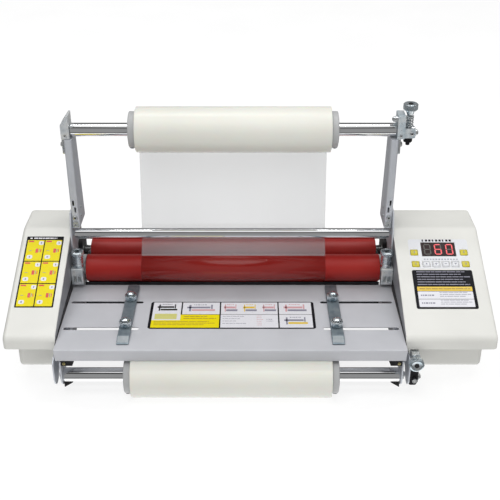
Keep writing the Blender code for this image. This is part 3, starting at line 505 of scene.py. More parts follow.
def carve(obj, *cutters):
    """Cuts the cutters out of an object, applies its modifiers and leaves it a plain mesh."""
    for tool in cutters:
        modifier = obj.modifiers.new("Cut", "BOOLEAN")
        modifier.object = tool
        modifier.solver = "EXACT"
    bpy.context.view_layer.update()
    graph = bpy.context.evaluated_depsgraph_get()
    mesh = bpy.data.meshes.new_from_object(obj.evaluated_get(graph))
    obj.modifiers.clear()
    obj.data = mesh
    for tool in cutters:
        bpy.data.objects.remove(tool)
    smooth(mesh)


def screw_head(bm, centre, axis, outward, radius, height, socket=True):
    """A low domed head facing outward along an axis, with a flat dark disc in it: painted shade for its
    socket.
    """
    lift = outward * height
    profile = [(0, 0), (radius, 0), (radius, lift * 0.45), (radius * 0.86, lift * 0.8)]
    profile += [(radius * 0.5, lift), (0, lift)]
    turned(bm, profile, 32, axis, centre)
    if socket:
        face = Vector(centre) + Vector(AXIS_PLACES[axis](0, 0, lift))
        # painted shade: a thin dark disc stands for the shaded socket
        rod(bm, radius * 0.4, (0, outward * 0.00006), axis, face, 6, 1)


def spring(name, centre, axis, limits, radius, wire, turns):
    """A compression spring on the frame: one bevelled curve, with its ends closed up."""
    curve = bpy.data.curves.new(name, "CURVE")
    curve.dimensions = "3D"
    curve.bevel_depth = wire
    curve.bevel_resolution = 3
    curve.use_fill_caps = True
    curve.materials.append(M["zinc"])
    spline = curve.splines.new("POLY")
    count = turns * 20
    spline.points.add(count)
    place = AXIS_PLACES[axis]
    start, travel = limits[0] + wire, limits[1] - limits[0] - 2 * wire
    for i, point in enumerate(spline.points):
        share = i / count
        turn = 2 * math.pi * turns * share
        along = start + travel * (share - END_CLOSING * math.sin(2 * math.pi * share))
        spot = place(radius * math.cos(turn), radius * math.sin(turn), along)
        point.co = (*(Vector(spot) + Vector(centre)), 1)
    attach(linked(name, curve), "frame", "zinc")


# ---------------------------------------------------------------- casings
def open_shell(name, chain, node, outward, rounding):
    """A moulded shell: an open surface drawn along a chain, its soft corners, then a wall inward."""
    low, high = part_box(node)
    x_outer, x_inner = (low.x, high.x) if outward < 0 else (high.x, low.x)
    bm = bmesh.new()
    inner = [bm.verts.new((x_inner, y, z)) for y, z in chain]
    outer = [bm.verts.new((x_outer, y, z)) for y, z in chain]
    for i in range(len(chain) - 1):
        bm.faces.new((inner[i], inner[i + 1], outer[i + 1], outer[i]))
    bm.faces.new(outer)
    bmesh.ops.recalc_face_normals(bm, faces=bm.faces)
    centre = (low + high) / 2
    outward_area = sum((face.calc_center_median() - centre).dot(face.normal) * face.calc_area()
                       for face in bm.faces)
    if outward_area < 0:
        bmesh.ops.reverse_faces(bm, faces=bm.faces)
    obj = linked(name, stored(name, bm, "cream"))
    add_bevel(obj, rounding, 6, 50)
    wall = obj.modifiers.new("Wall", "SOLIDIFY")
    wall.thickness = WALL
    wall.offset = -1
    wall.use_even_offset = True
    return attach(obj, "frame", "cream_casing", node)


def casing_cover(side, outward):
    chain = [(COVER_FRONT, COVER_BOTTOM), (*SLOPE_START, 0.009), (*SLOPE_END, 0.020)]
    chain += [(COVER_REAR - 0.024, COVER_TOP, 0.006), (COVER_REAR, COVER_BOTTOM)]
    chain = eased(chain, cyclic=False, steps=12)
    cover = open_shell(f"{side}_cover_shell", chain, f"{side}_casing_cover", outward, 0.0045)
    carve(cover, *([panel_cutter(GAP)] if side == "right" else []))
    add_bevel(cover, 0.0005, 2, 60)


def casing_base(side, outward):
    """A lower tray with a row of vents in its outer wall; the right one has the inlet's hole too."""
    node = f"{side}_casing_base"
    low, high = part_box(node)
    chain = [(high.y, high.z), (high.y, low.z, 0.006), (low.y, low.z, 0.006), (low.y, high.z)]
    base = open_shell(f"{side}_base_shell", eased(chain, cyclic=False, steps=8), node, outward, 0.005)
    wall = low.x if outward < 0 else high.x
    vents = bmesh.new()
    for i in range(7):
        y = low.y + 0.050 + 0.0105 * i
        outline = eased(rectangle((y - 0.0016, y + 0.0016), (low.z + 0.014, high.z - 0.014)), 0.0015)
        prism(vents, outline, sorted((wall - outward * 0.008, wall + outward * 0.004)))
    cutters = [solid(vents)]
    if side == "right":
        hole_low, hole_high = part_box("power_inlet")
        cutters.append(cutter(block, (hole_low.x - GAP, hole_high.x + GAP), (high.y - 0.006, high.y + 0.005),
                              (hole_low.z - GAP, hole_high.z + GAP)))
    carve(base, *cutters)
    add_bevel(base, 0.0004, 2, 60)


# ---------------------------------------------------------------- control panel
KEY_HALF = (0.0042, 0.0040)
KEY_RADIUS = 0.0011
KEY_TOP = 0.0009
OVERLAY_X, OVERLAY_Y = (0.1862, 0.2560), (-0.0078, 0.0352)  # in the panel's own plane


def window_place():
    """The display's place on the panel, and the width and length of its opening."""
    to_panel = PANEL.inverted()
    spots = [to_panel @ vertex.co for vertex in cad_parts["display_window"].data.vertices]
    xs, ys = [spot.x for spot in spots], [spot.y for spot in spots]
    x, y = (min(xs) + max(xs)) / 2, (min(ys) + max(ys)) / 2
    return x, y, max(xs) - min(xs) + 2 * GAP, max(ys) - min(ys) + 2 * GAP


WINDOW = window_place()


def key_places():
    """Each button's place on the panel, as (name, x, distance up the slope)."""
    to_panel = PANEL.inverted()
    names = [f"{colour}_button_{i}" for colour in ("yellow", "white") for i in range(1, 5)]
    places = [(name, to_panel @ middle(name)) for name in names]
    return [(name, spot.x, spot.y) for name, spot in places]


def patch(bm, place, half, zs, ink=0, radius=0.0, steps=4):
    """Adds a thin rectangle on the panel, from its middle and its half sizes."""
    (x, y), (wide, tall) = place, half
    prism(bm, eased(rectangle((x - wide, x + wide), (y - tall, y + tall)), radius, steps=steps), zs, "Z", ink)


def panel_cutter(clearance):
    """Solids through the panel for the window and the buttons."""
    x, y, width, length = WINDOW
    through = (-0.01, 0.01)
    holes = formed(patch, (x, y), (width / 2, length / 2), through)
    for _, *place in key_places():
        patch(holes, place, (KEY_HALF[0] + clearance, KEY_HALF[1] + clearance), through, 0, KEY_RADIUS)
    bmesh.ops.transform(holes, matrix=PANEL, verts=holes.verts)
    return solid(holes)


def key_symbol(bm, name, x, y):
    """A generic mark on a button: a bar, a plus, a minus or an arrow."""
    zs = (KEY_TOP, KEY_TOP + 0.00008)
    colour, _, kind = name.split("_")
    if colour == "yellow":
        patch(bm, (x, y), (0.0005, 0.0016), zs, 1)
    elif kind in "14":
        up = 1 if kind == "1" else -1
        arrow = [(x - 0.0015, y - up * 0.0010), (x + 0.0015, y - up * 0.0010), (x, y + up * 0.0014)]
        prism(bm, arrow, zs, "Z", 1)
    else:
        patch(bm, (x, y), (0.0016, 0.0004), zs, 1)
    if name == "white_button_2":
        for up in (1, -1):
            patch(bm, (x, y + up * 0.00105), (0.0004, 0.00055), zs, 1)


def key_outline(bm, x, y):
    """A thin printed line near the edge of a key."""
    wide, tall, line = KEY_HALF[0] - 0.0008, KEY_HALF[1] - 0.0008, 0.00015
    zs = (KEY_TOP, KEY_TOP + 0.00006)
    for side in (-1, 1):
        patch(bm, (x, y + side * (tall - line)), (wide, line), zs, 1)
        patch(bm, (x + side * (wide - line), y), (line, tall - 2 * line), zs, 1)


def keys():
    """Each button's cap: straight sides, a rounded top edge and its print."""
    layers = [(0.0, -0.0036), (0.0, KEY_TOP - 0.0006), (0.00025, KEY_TOP - 0.0002), (0.0006, KEY_TOP)]
    for name, x, y in key_places():
        bm = bmesh.new()
        rings = []
        for shrink, height in layers:
            wide, tall = KEY_HALF[0] - shrink, KEY_HALF[1] - shrink
            outline = eased(rectangle((x - wide, x + wide), (y - tall, y + tall)), KEY_RADIUS, steps=6)
            rings.append([bm.verts.new((a, b, height)) for a, b in outline])
        for first, second in zip(rings, rings[1:]):
            for i in range(len(first)):
                j = (i + 1) % len(first)
                bm.faces.new((first[i], first[j], second[j], second[i]))
        bm.faces.new(rings[0][::-1])
        bm.faces.new(rings[-1])
        key_symbol(bm, name, x, y)
        colour = name.split("_")[0]
        if colour == "white":
            key_outline(bm, x, y)
        piece(f"{name}_cap", bm, (f"{colour}_key", "ink_grey"), name, f"{colour}_button", (name,), at=PANEL)


def digit(bm, x, y, height, segments):
    """A seven-segment figure; lit segments take the second material."""
    width, bar = height * 0.50, height * 0.095
    half, rise = width / 2, height / 2
    bars = {
        "a": ((x, y + rise), True), "g": ((x, y), True), "d": ((x, y - rise), True),
        "f": ((x - half, y + rise / 2), False), "b": ((x + half, y + rise / 2), False),
        "e": ((x - half, y - rise / 2), False), "c": ((x + half, y - rise / 2), False),
    }
    for name, ((cx, cy), flat) in bars.items():
        long_half = (half if flat else rise / 2) - bar * 0.18
        thick = bar / 2
        shape = [(-long_half, 0), (-long_half + thick, thick), (long_half - thick, thick)]
        shape += [(long_half, 0), (long_half - thick, -thick), (-long_half + thick, -thick)]
        outline = [(cx + a, cy + b) if flat else (cx + b, cy + a) for a, b in shape]
        prism(bm, outline, (-0.00008, 0.00006), "Z", 1 if name in segments else 0)


def display():
    """The lit and unlit segments under the window: nothing, a 6 and a 0."""
    x, y, width, length = WINDOW
    bm = bmesh.new()
    for share, segments in ((-0.32, ""), (-0.01, "acdefg"), (0.32, "abcdef")):
        digit(bm, x + share * width, y, length * 0.68, segments)
    piece("display_digits", bm, ("led_off", "led"), "frame", "dark_window", at=PANEL)


def keypad_overlay():
    """The printed film round the display and the buttons, with two rows of plain blocks."""
    outline = eased(rectangle(OVERLAY_X, OVERLAY_Y), 0.003, steps=6)
    sheet = formed(prism, outline, (0.00002, 0.00016), "Z")
    sheet = piece("keypad_overlay", sheet, "overlay", "frame", "cream_casing", at=PANEL)
    carve(sheet, panel_cutter(2 * GAP))
    x, y, width, length = WINDOW
    above = (y + length / 2 + 0.0011, y + length / 2 + 0.0041)
    rows = [(x - width / 2 + 0.002 + i * 0.0040, 0.0026 if i % 3 else 0.0018, above, 1) for i in range(9)]
    rows += [(0.2020 + i * 0.0034, 0.0022, (0.0051, 0.0062), 0) for i in range(12)]
    marks = bmesh.new()
    for left, wide, ys, ink in rows:
        prism(marks, rectangle((left, left + wide), ys), (0.00018, 0.00024), "Z", ink)
    piece("keypad_marks", marks, ("ink_grey", "ink_black"), "frame", "cream_casing", at=PANEL)


# ---------------------------------------------------------------- labels
LAYER = 0.00010


def cell(bm, xs, ys, level, ink, radius=0.0, corner_steps=4):
    """A printed patch; a higher level lies on the one below."""
    base = 0.00004 + level * LAYER
    prism(bm, eased(rectangle(xs, ys), radius, steps=corner_steps), (base, base + LAYER * 0.9), "Z", ink)


def stripes(bm, xs, ys, count, level, ink, fill=0.42, ragged=0.35):
    """Rows of thin bars that stand for printing, with uneven right ends."""
    pitch = (ys[1] - ys[0]) / count
    for row in range(count):
        top = ys[1] - pitch * row
        cut = ragged * (0.5 + 0.5 * math.sin(row * 2.4 + count)) * (xs[1] - xs[0])
        left = xs[0]
        right = xs[1] - cut
        step = (xs[1] - xs[0]) / 5
        while left < right - 0.0008:
            end = min(left + step * (0.62 + 0.3 * math.sin(left * 900 + row)), right)
            cell(bm, (left, end), (top - pitch * fill, top), level, ink)
            left = end + 0.0007


def left_label():
    """The warning sheet on the left casing: six yellow cells with generic marks."""
    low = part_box("left_casing_cover")[0]
    xs = (low.x + 0.0073, low.x + 0.0509)
    ys = (-0.0622, 0.0396)
    bm = bmesh.new()
    cell(bm, xs, ys, 0, 0, 0.0012)
    border, header, line = 0.0017, 0.0056, 0.0013
    cell(bm, (xs[0] + 0.004, xs[0] + 0.0065), (ys[1] - 0.0036, ys[1] - 0.0018), 1, 2)
    stripes(bm, (xs[0] + 0.0085, xs[1] - 0.008), (ys[1] - 0.0036, ys[1] - 0.0018), 1, 1, 2, 1.0, 0.0)
    width = (xs[1] - xs[0] - 2 * border - line) / 2
    height = (ys[1] - ys[0] - border - header - 2 * line) / 3
    for row in range(3):
        for column in range(2):
            x = xs[0] + border + column * (width + line)
            y = ys[0] + border + row * (height + line)
            label_cell(bm, x, y, width, height)
    piece("left_label", bm, ("ink_black", "ink_yellow", "ink_white", "ink_red", "ink_grey"), "frame",
          "cream_casing", at=PANEL)


def label_cell(bm, x, y, width, height):
    """One yellow cell: a red tab, two pale patches with a symbol each, and red marks."""
    cell(bm, (x, x + width), (y, y + height), 1, 1)
    marks = (  # left, right, bottom, top, level, ink, rounding
        (0.0012, 0.0075, height - 0.0030, height - 0.0010, 2, 3, 0.0004),
        (0.0135, 0.0192, height - 0.0072, height - 0.0016, 2, 2, 0.0016),
        (0.0020, 0.0084, 0.0030, 0.0084, 2, 2, 0.0018),
        (0.0110, 0.0140, 0.0118, 0.0180, 2, 3, 0.0005),
        (0.0148, 0.0156, 0.0124, 0.0176, 2, 4, 0),
        (0.0166, 0.0176, 0.0130, 0.0172, 2, 3, 0),
        (0.0030, 0.0064, 0.0145, 0.0151, 2, 4, 0),
        (0.0158, 0.0170, height - 0.0056, height - 0.0032, 3, 4, 0),
        (0.0044, 0.0060, 0.0046, 0.0068, 3, 4, 0),
    )
    for left, right, bottom, top, level, ink, radius in marks:
        cell(bm, (x + left, x + right), (y + bottom, y + top), level, ink, radius)


def right_label():
    """The settings sheet on the right casing: dark rows, an amber strip and a pale table."""
    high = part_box("right_casing_cover")[1]
    xs = (high.x - 0.0853, high.x - 0.0159)
    ys = (-0.0641, -0.0100)
    bm = bmesh.new()
    cell(bm, xs, ys, 0, 0, 0.0022, 6)
    stripes(bm, (xs[0] + 0.0050, xs[1] - 0.0035), (ys[1] - 0.0235, ys[1] - 0.0020), 6, 1, 3, 0.30, 0.18)
    strip = (ys[0] + 0.0245, ys[0] + 0.0305)
    cell(bm, (xs[0] + 0.0035, xs[1] - 0.0035), strip, 1, 2)
    stripes(bm, (xs[0] + 0.0060, xs[1] - 0.006), (strip[0] + 0.0020, strip[1] - 0.0022), 1, 2, 4, 0.8, 0.0)
    table_y = (ys[0] + 0.0026, strip[0] - 0.0006)
    cell(bm, (xs[0] + 0.0035, xs[1] - 0.0035), table_y, 1, 1, 0.0008)
    half = (table_y[0] + table_y[1]) / 2
    for bottom in (table_y[0], half):
        stripes(bm, (xs[0] + 0.0065, xs[0] + 0.0225), (bottom + 0.0042, bottom + 0.0062), 1, 2, 3, 0.9, 0.0)
        stripes(bm, (xs[0] + 0.0280, xs[1] - 0.0055), (bottom + 0.0016, bottom + 0.0096), 3, 2, 3, 0.26, 0.2)
    cell(bm, (xs[0] + 0.0035, xs[1] - 0.0035), (half - 0.0002, half + 0.0002), 2, 0)
    inks = ("ink_black", "ink_white", "ink_amber", "ink_grey", "ink_ochre")
    piece("right_label", bm, inks, "frame", "cream_casing", at=PANEL)


def picture(bm, xs, ys, ink, soft):
    """A small generic diagram of rollers and a sheet."""
    width, height = xs[1] - xs[0], ys[1] - ys[0]
    shapes = (  # left, right, bottom and top as shares of the picture, ink, rounding
        (0.10, 0.78, 0.50, 0.66, ink, 0.0004),
        (0.24, 0.92, 0.24, 0.40, soft, 0.0004),
        (0.16, 0.22, 0.20, 0.84, ink, 0),
        (0.80, 0.85, 0.44, 0.86, ink, 0),
    )
    for left, right, bottom, top, colour, radius in shapes:
        cell(bm, (xs[0] + width * left, xs[0] + width * right),
             (ys[0] + height * bottom, ys[0] + height * top), 2, colour, radius)
    stripes(bm, (xs[0] + width * 0.3, xs[1] - width * 0.3), (ys[1] - height * 0.24, ys[1] - height * 0.12),
            1, 2, ink, 0.5, 0.0)


def table_label():
    """The threading guide on the feed table: pictures over a yellow strip, and four pale cells."""
    xs = (-0.1155, 0.0740)
    ys = (-0.0675, -0.0115)
    border, line = 0.0032, 0.0008
    columns = (xs[0] + border, -0.0790, -0.0345, 0.0325, xs[1] - border)
    low, high = ys[0] + 0.0022, ys[1] - 0.0016
    split = low + (high - low) * 0.52
    bm = bmesh.new()
    cell(bm, xs, ys, 0, 0, 0.0035, 6)
    cell(bm, (columns[0], columns[2] - line), (low, split - line), 1, 2)
    cell(bm, (columns[0], columns[1] - line), (low + 0.0148, high), 2, 1, 0.0006)
    cell(bm, (columns[0], columns[2] - line), (split - line, split), 1, 0)
    cell(bm, (columns[1] + line, columns[2] - line), (split, high), 1, 1)
    for first, second in ((columns[2], columns[3]), (columns[3], columns[4])):
        for bottom, top in ((low, split - line), (split, high)):
            cell(bm, (first + line, second - (line if second < columns[4] else 0)), (bottom, top), 1, 1)
    cell(bm, (columns[0] + 0.003, columns[1] - 0.005), (low + 0.0170, low + 0.0280), 3, 6, 0.001)
    picture(bm, (columns[0] + 0.002, columns[1] - 0.003), (low + 0.030, high - 0.001), 3, 5)
    picture(bm, (columns[1] + 0.002, columns[2] - 0.003), (split + 0.002, high - 0.002), 3, 4)
    third = (columns[3] - columns[2]) / 3
    for i in range(3):
        left = columns[2] + 0.002 + i * third
        picture(bm, (left, left + third - 0.003), (split + 0.001, high - 0.001), (4, 5, 4)[i], 3)
    picture(bm, (columns[3] + 0.003, columns[4] - 0.003), (split + 0.001, high - 0.001), 4, 3)
    picture(bm, (columns[3] + 0.003, columns[4] - 0.003), (low + 0.002, split - 0.003), 3, 5)
    stripes(bm, (columns[0] + 0.003, columns[2] - 0.004), (low + 0.003, low + 0.0125), 3, 2, 7, 0.30, 0.2)
    stripes(bm, (columns[1] + 0.003, columns[2] - 0.004), (low + 0.0150, split - 0.004), 2, 2, 7, 0.30, 0.3)
    stripes(bm, (columns[2] + 0.003, columns[2] + 0.030), (low + 0.004, split - 0.004), 4, 2, 3, 0.14, 0.5)
    stripes(bm, (columns[3] - 0.025, columns[3] - 0.018), (low + 0.002, split - 0.003), 6, 2, 4, 0.3, 0.1)
    stripes(bm, (columns[3] - 0.014, columns[3] - 0.005), (low + 0.010, split - 0.010), 2, 2, 3, 0.3, 0.2)
    finishes = [f"ink_{ink}" for ink in ("black", "white", "yellow", "grey", "rose", "amber", "lime", "ochre")]
    piece("table_label", bm, finishes, "feed_table", "table_paint", at=Matrix.Translation((0, 0, TABLE_TOP)))


# ---------------------------------------------------------------- rollers and rolls
SET_SCREW_TURN = math.radians(148)  # round the mandrel, from straight up
ROLL_RADIUS, BAR_RADIUS, HOT_RADIUS = 0.026, 0.0065, 0.0165  # that the film web touches
FILM_MEETS, FILM_LEAVES = math.radians(104), math.radians(255)  # round the front roller


def turned_piece(name, profile, finish, body, slot, node):
    """A turned piece on a CAD node's X axis; its mesh stays round its own origin, as polar() needs."""
    bm = formed(turned, profile)
    bmesh.ops.recalc_face_normals(bm, faces=bm.faces)
    obj = linked(name, stored(name, bm, finish))
    smooth(obj.data)
    spot = middle(node)
    obj.location = (0, spot.y, spot.z)
    return attach(obj, body, slot, node)


def roller(level, place):
    """A roller: stepped shaft with a clip groove, and a ground silicone sleeve."""
    base = f"{level}_{place}_roller"
    low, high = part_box(base + "_sleeve")
    shaft_low, shaft_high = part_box(base + "_shaft")
    radius = (high.z - low.z) / 2
    core, journal, groove = 0.0125, 0.005, 0.0006
    left, right = low.x, high.x
    sleeve = eased([(radius, right), (radius, left), (core + 0.0002, left), (core + 0.0002, right)], 0.0007)
    turned_piece(base + "_rubber", sleeve, "silicone", base, "red_silicone", base + "_sleeve")
    # the castings leave the upper front roller no room for a thick stub
    stub = journal + (0.0002 if base == "upper_front_roller" else 0.0025)
    profile = [(0, shaft_high.x), (journal, shaft_high.x), (journal, right + 0.018), (stub, right + 0.018)]
    profile += [(stub, right + 0.0005), (core, right + 0.0005), (core, left - 0.001), (stub, left - 0.001)]
    profile += [(stub, left - 0.0125), (journal - groove, left - 0.0125), (journal - groove, left - 0.0137)]
    profile += [(journal, left - 0.0137), (journal, shaft_low.x), (0, shaft_low.x)]
    shaft = [point for point in profile if shaft_low.x <= point[1] <= shaft_high.x]
    turned_piece(base + "_core", eased(shaft, 0.0004, False, 2), "bar", base, "chrome", base + "_shaft")


def rollers():
    for level in ("lower", "upper"):
        for place in ("front", "rear"):
            roller(level, place)


def stepped_shaft(name, body, node, journal, shoulders, rounding, chamfer=0.0):
    """A chrome shaft with a thin journal at each end, as long as the shoulder of that end says."""
    low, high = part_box(node)
    radius = (high.z - low.z) / 2
    left, right = low.x + shoulders[0], high.x - shoulders[1]
    profile = [(0, high.x), (journal, high.x), (journal, right + chamfer), (radius, right)]
    profile += [(radius, left), (journal, left - chamfer), (journal, low.x), (0, low.x)]
    turned_piece(name, eased(profile, rounding, False, 3), "chrome", body, "chrome", node)


def supply_roll(level):
    """A wound roll of film on its paper core, a collar at each end and the mandrel through them."""
    body, node = f"{level}_supply_roll", f"{level}_film_roll"
    low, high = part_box(node)
    radius, bore, paper = (high.z - low.z) / 2, 0.0127, 0.0032
    film = [(radius, high.x), (radius, low.x), (bore + paper, low.x), (bore + paper, high.x)]
    turned_piece(f"{level}_wound_film", eased(film, 0.0009), "film", body, "film_roll", node)
    rim = bore + paper - 0.0001
    core = [(rim, high.x + 0.0002), (rim, low.x - 0.0002), (bore, low.x - 0.0002), (bore, high.x + 0.0002)]
    spot = middle(node)
    piece(f"{level}_paper_core", formed(turned, eased(core, 0.0002)), "collar", body, "film_roll",
          at=Matrix.Translation((0, spot.y, spot.z)))
    for side, outward in SIDES:
        collar(level, side, outward, body)
    shoulders = {"upper": (0.0091, 0.0215), "lower": (0.0017, 0.0020)}[level]
    stepped_shaft(f"{level}_shaft", body, f"{level}_mandrel", 0.0035, shoulders, 0.0008)


def collar(level, side, outward, body):
    """A clamping collar with a rounded rim, a hub inside the core and one set screw."""
    node = f"{level}_{side}_collar"
    low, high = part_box(node)
    radius, width, hub, bore = (high.z - low.z) / 2, 0.008, 0.0124, 0.0080
    outer, hub_end = (low.x, high.x) if outward < 0 else (high.x, low.x)
    near, step = outer - outward * width, outer - outward * 0.0006
    profile = [(bore, outer), (radius - 0.004, outer), (radius - 0.003, step), (radius, step)]
    profile += [(radius, near), (hub, near), (hub, hub_end), (bore, hub_end)]
    turned_piece(f"{level}_{side}_clamp", eased(profile, 0.0009), "collar", body, "grey_collar", node)
    top = radius + 0.0009
    screw = formed(rod, 0.0023, (radius - 0.001, top), "Z")
    # painted shade: a dark hexagon on the screw's end for its socket
    rod(screw, 0.0013, (top, top + 0.0001), "Z", steps=6, ink=1)
    spot = middle(node)
    to_middle = Matrix.Translation((outer - outward * width / 2, spot.y, spot.z))
    at = to_middle @ Matrix.Rotation(SET_SCREW_TURN, 4, "X")
    piece(f"{level}_{side}_set_screw", screw, PLATED, body, "zinc", at=at)


def film_web():
    """The unwound film: straight runs and wraps; a circle is its middle, its radius and its turn."""
    supply_spot, bar_spot = middle("upper_film_roll"), middle("idler_bar")
    hot_spot = middle("upper_front_roller_sleeve")
    low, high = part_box("upper_film_web")
    stand_off = GAP + 0.0002
    roll = (supply_spot.y, supply_spot.z, ROLL_RADIUS + stand_off, -1)
    bar = (bar_spot.y, bar_spot.z, BAR_RADIUS + stand_off, -1)
    hot = (hot_spot.y, hot_spot.z, HOT_RADIUS + stand_off, 1)
    leave_roll, reach_bar = tangent(roll, bar)
    leave_bar = tangent(bar, hot)[0]
    route = wrap(roll, leave_roll, leave_roll, 1)[:1] + wrap(bar, reach_bar, leave_bar, 16)
    on_roller = wrap(hot, FILM_MEETS, FILM_LEAVES, 48)
    nearly_there = 0.93  # where the free film ends and its clear, clinging part starts
    route.append(tuple(a + (b - a) * nearly_there for a, b in zip(route[-1], on_roller[0])))
    clear_from = len(route) - 1
    route += on_roller
    bm = bmesh.new()
    left = [bm.verts.new((low.x, y, z)) for y, z in route]
    right = [bm.verts.new((high.x, y, z)) for y, z in route]
    for i in range(len(route) - 1):
        strip = bm.faces.new((left[i], left[i + 1], right[i + 1], right[i]))
        strip.material_index = 1 if i >= clear_from else 0
    web = piece("film_web_sheet", bm, ("web", "hot_web"), "frame", "film_web", ("upper_film_web",), sharp=80)
    thick = web.modifiers.new("Thickness", "SOLIDIFY")
    thick.thickness = 0.00012
    thick.offset = 0


def tangent(first, second):
    """Where a web leaves one directed circle and meets the next, as angles round them."""
    (y0, z0, r0, turn0), (y1, z1, r1, turn1) = first, second
    reach = math.hypot(y1 - y0, z1 - z0)
    heading = math.atan2(z1 - z0, y1 - y0) + math.asin((turn0 * r0 - turn1 * r1) / reach)
    return heading - turn0 * math.pi / 2, heading - turn1 * math.pi / 2


def wrap(around, start, end, steps):
    y, z, radius, _ = around
    turns = [start + (end - start) * i / steps for i in range(steps + 1)]
    return [(y + radius * math.cos(t), z + radius * math.sin(t)) for t in turns]


# ---------------------------------------------------------------- posts and brackets
POST_OUTER = -0.2113  # the left post's outer face; the right post mirrors it
POST_WIDTH, POST_WALL = 0.009, 0.002
POST_FRONT, POST_BACK = 0.044, 0.072
POST_BOTTOM = 0.1385
POST_FLARE = 0.010  # how much deeper the flanges are at the foot
TONGUE_INNER = -0.2116
BRACKET_HALF = 0.010
RIGHT_BRACKET_OUTER = 0.1745
BRAKE_X, BRAKE_Y, BRAKE_Z = (0.1742, 0.187), (0.0485, 0.0615), (0.2513, 0.2622)
CHEEKS_X = {"left": (-0.2170, -0.2075), "right": (0.1665, 0.1760)}
CHEEK_THICK = 0.0017
GUSSET_FRONT = -0.1056
PINCH_HEIGHT = 0.2560  # of the bolt that closes the upper brake
LOWER_BRAKE_X, LOWER_BRAKE_Y = 0.1762, (-0.104, -0.092)


def on_side(x, outward):
    """A place given for the left side, or its mirror for the right one."""
    return x if outward < 0 else mirror_x(x)


def beside_plate(outward):
    return PLATE_LEFT + GAP if outward < 0 else PLATE_RIGHT - GAP


def post(side, outward):
    """A folded channel with two adjusting slots, its cap, its foot plate and its screws."""
    node = f"{side}_post"
    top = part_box(node)[1].z
    outer = on_side(POST_OUTER, outward)
    inner = outer - outward * POST_WIDTH
    left, right = sorted((outer, inner))
    front, back, wall, fold = POST_FRONT, POST_BACK, POST_WALL, 0.0004
    section = [(left, front, 0.0022), (right, front, 0.0022), (right, back, fold), (right - wall, back, fold)]
    section += [(right - wall, front + wall, fold), (left + wall, front + wall, fold)]
    section += [(left + wall, back, fold), (left, back, fold)]
    bm = formed(prism, eased(section, steps=5), (POST_BOTTOM, top), "Z")
    for corner in bm.verts:
        if corner.co.z < top - 0.01 and corner.co.y > back - 0.001:
            corner.co.y += POST_FLARE
    channel = piece(f"{side}_post_channel", bm, "post", "frame", "frame_steel", (node,))
    inside = rectangle((left + wall + 0.0001, right - wall - 0.0001), (front + wall + 0.0001, back - 0.0005))
    cap = formed(prism, inside, (top - 0.0018, top - 0.0002), "Z")
    piece(f"{side}_post_cap", cap, "post", "frame", "frame_steel", bevel=0.0002)
    middle_x = (left + right) / 2
    slots = bmesh.new()
    for aside, height in ((0.0009, 0.1715), (-0.0009, 0.1625)):
        x = middle_x + aside * outward
        outline = eased(rectangle((x - 0.0010, x + 0.0010), (height - 0.0036, height + 0.0036)), 0.001)
        prism(slots, outline, (front - 0.002, front + 0.004), "Y")
    carve(channel, solid(slots))
    add_bevel(channel, 0.0003, 2, 60)
    foot = [(0.0345, 0.100, 0.004), (0.076, 0.100, 0.004), (0.076, 0.118, 0.004), (back, 0.160, 0.002)]
    foot += [(front, 0.160, 0.002), (0.036, 0.140, 0.004), (0.0345, 0.122, 0.004)]
    foot = formed(prism, eased(foot), sorted((beside_plate(outward), outer)))
    piece(f"{side}_post_foot", foot, "post", "frame", "frame_steel", bevel=0.0004)
    post_screws(side, outward, middle_x, inner)


def post_screws(side, outward, middle_x, inner):
    """The clamp screws on the front of the channel, its fold of sheet, and two rivets inside."""
    bm = bmesh.new()
    screw_head(bm, (middle_x, POST_FRONT, 0.1525), "Y", -1, 0.0030, 0.0018)
    screw_head(bm, (middle_x, POST_FRONT, 0.1435), "Y", -1, 0.0020, 0.0012)
    for height in (0.149, 0.160):
        screw_head(bm, (inner, 0.058, height), "X", -outward, 0.0019, 0.0009, socket=False)
    piece(f"{side}_post_screws", bm, PLATED, "frame", "zinc")
    outline = [(middle_x - 0.0041, 0.1405), (middle_x + 0.0041, 0.1405)]
    outline += [(middle_x + 0.0030, 0.1475), (middle_x - 0.0030, 0.1475)]
    lug = formed(prism, eased(outline, 0.0012), (POST_FRONT - 0.0010, POST_FRONT - 0.0001), "Y")
    piece(f"{side}_post_lug", lug, "zinc", "frame", "zinc", bevel=0.0002)


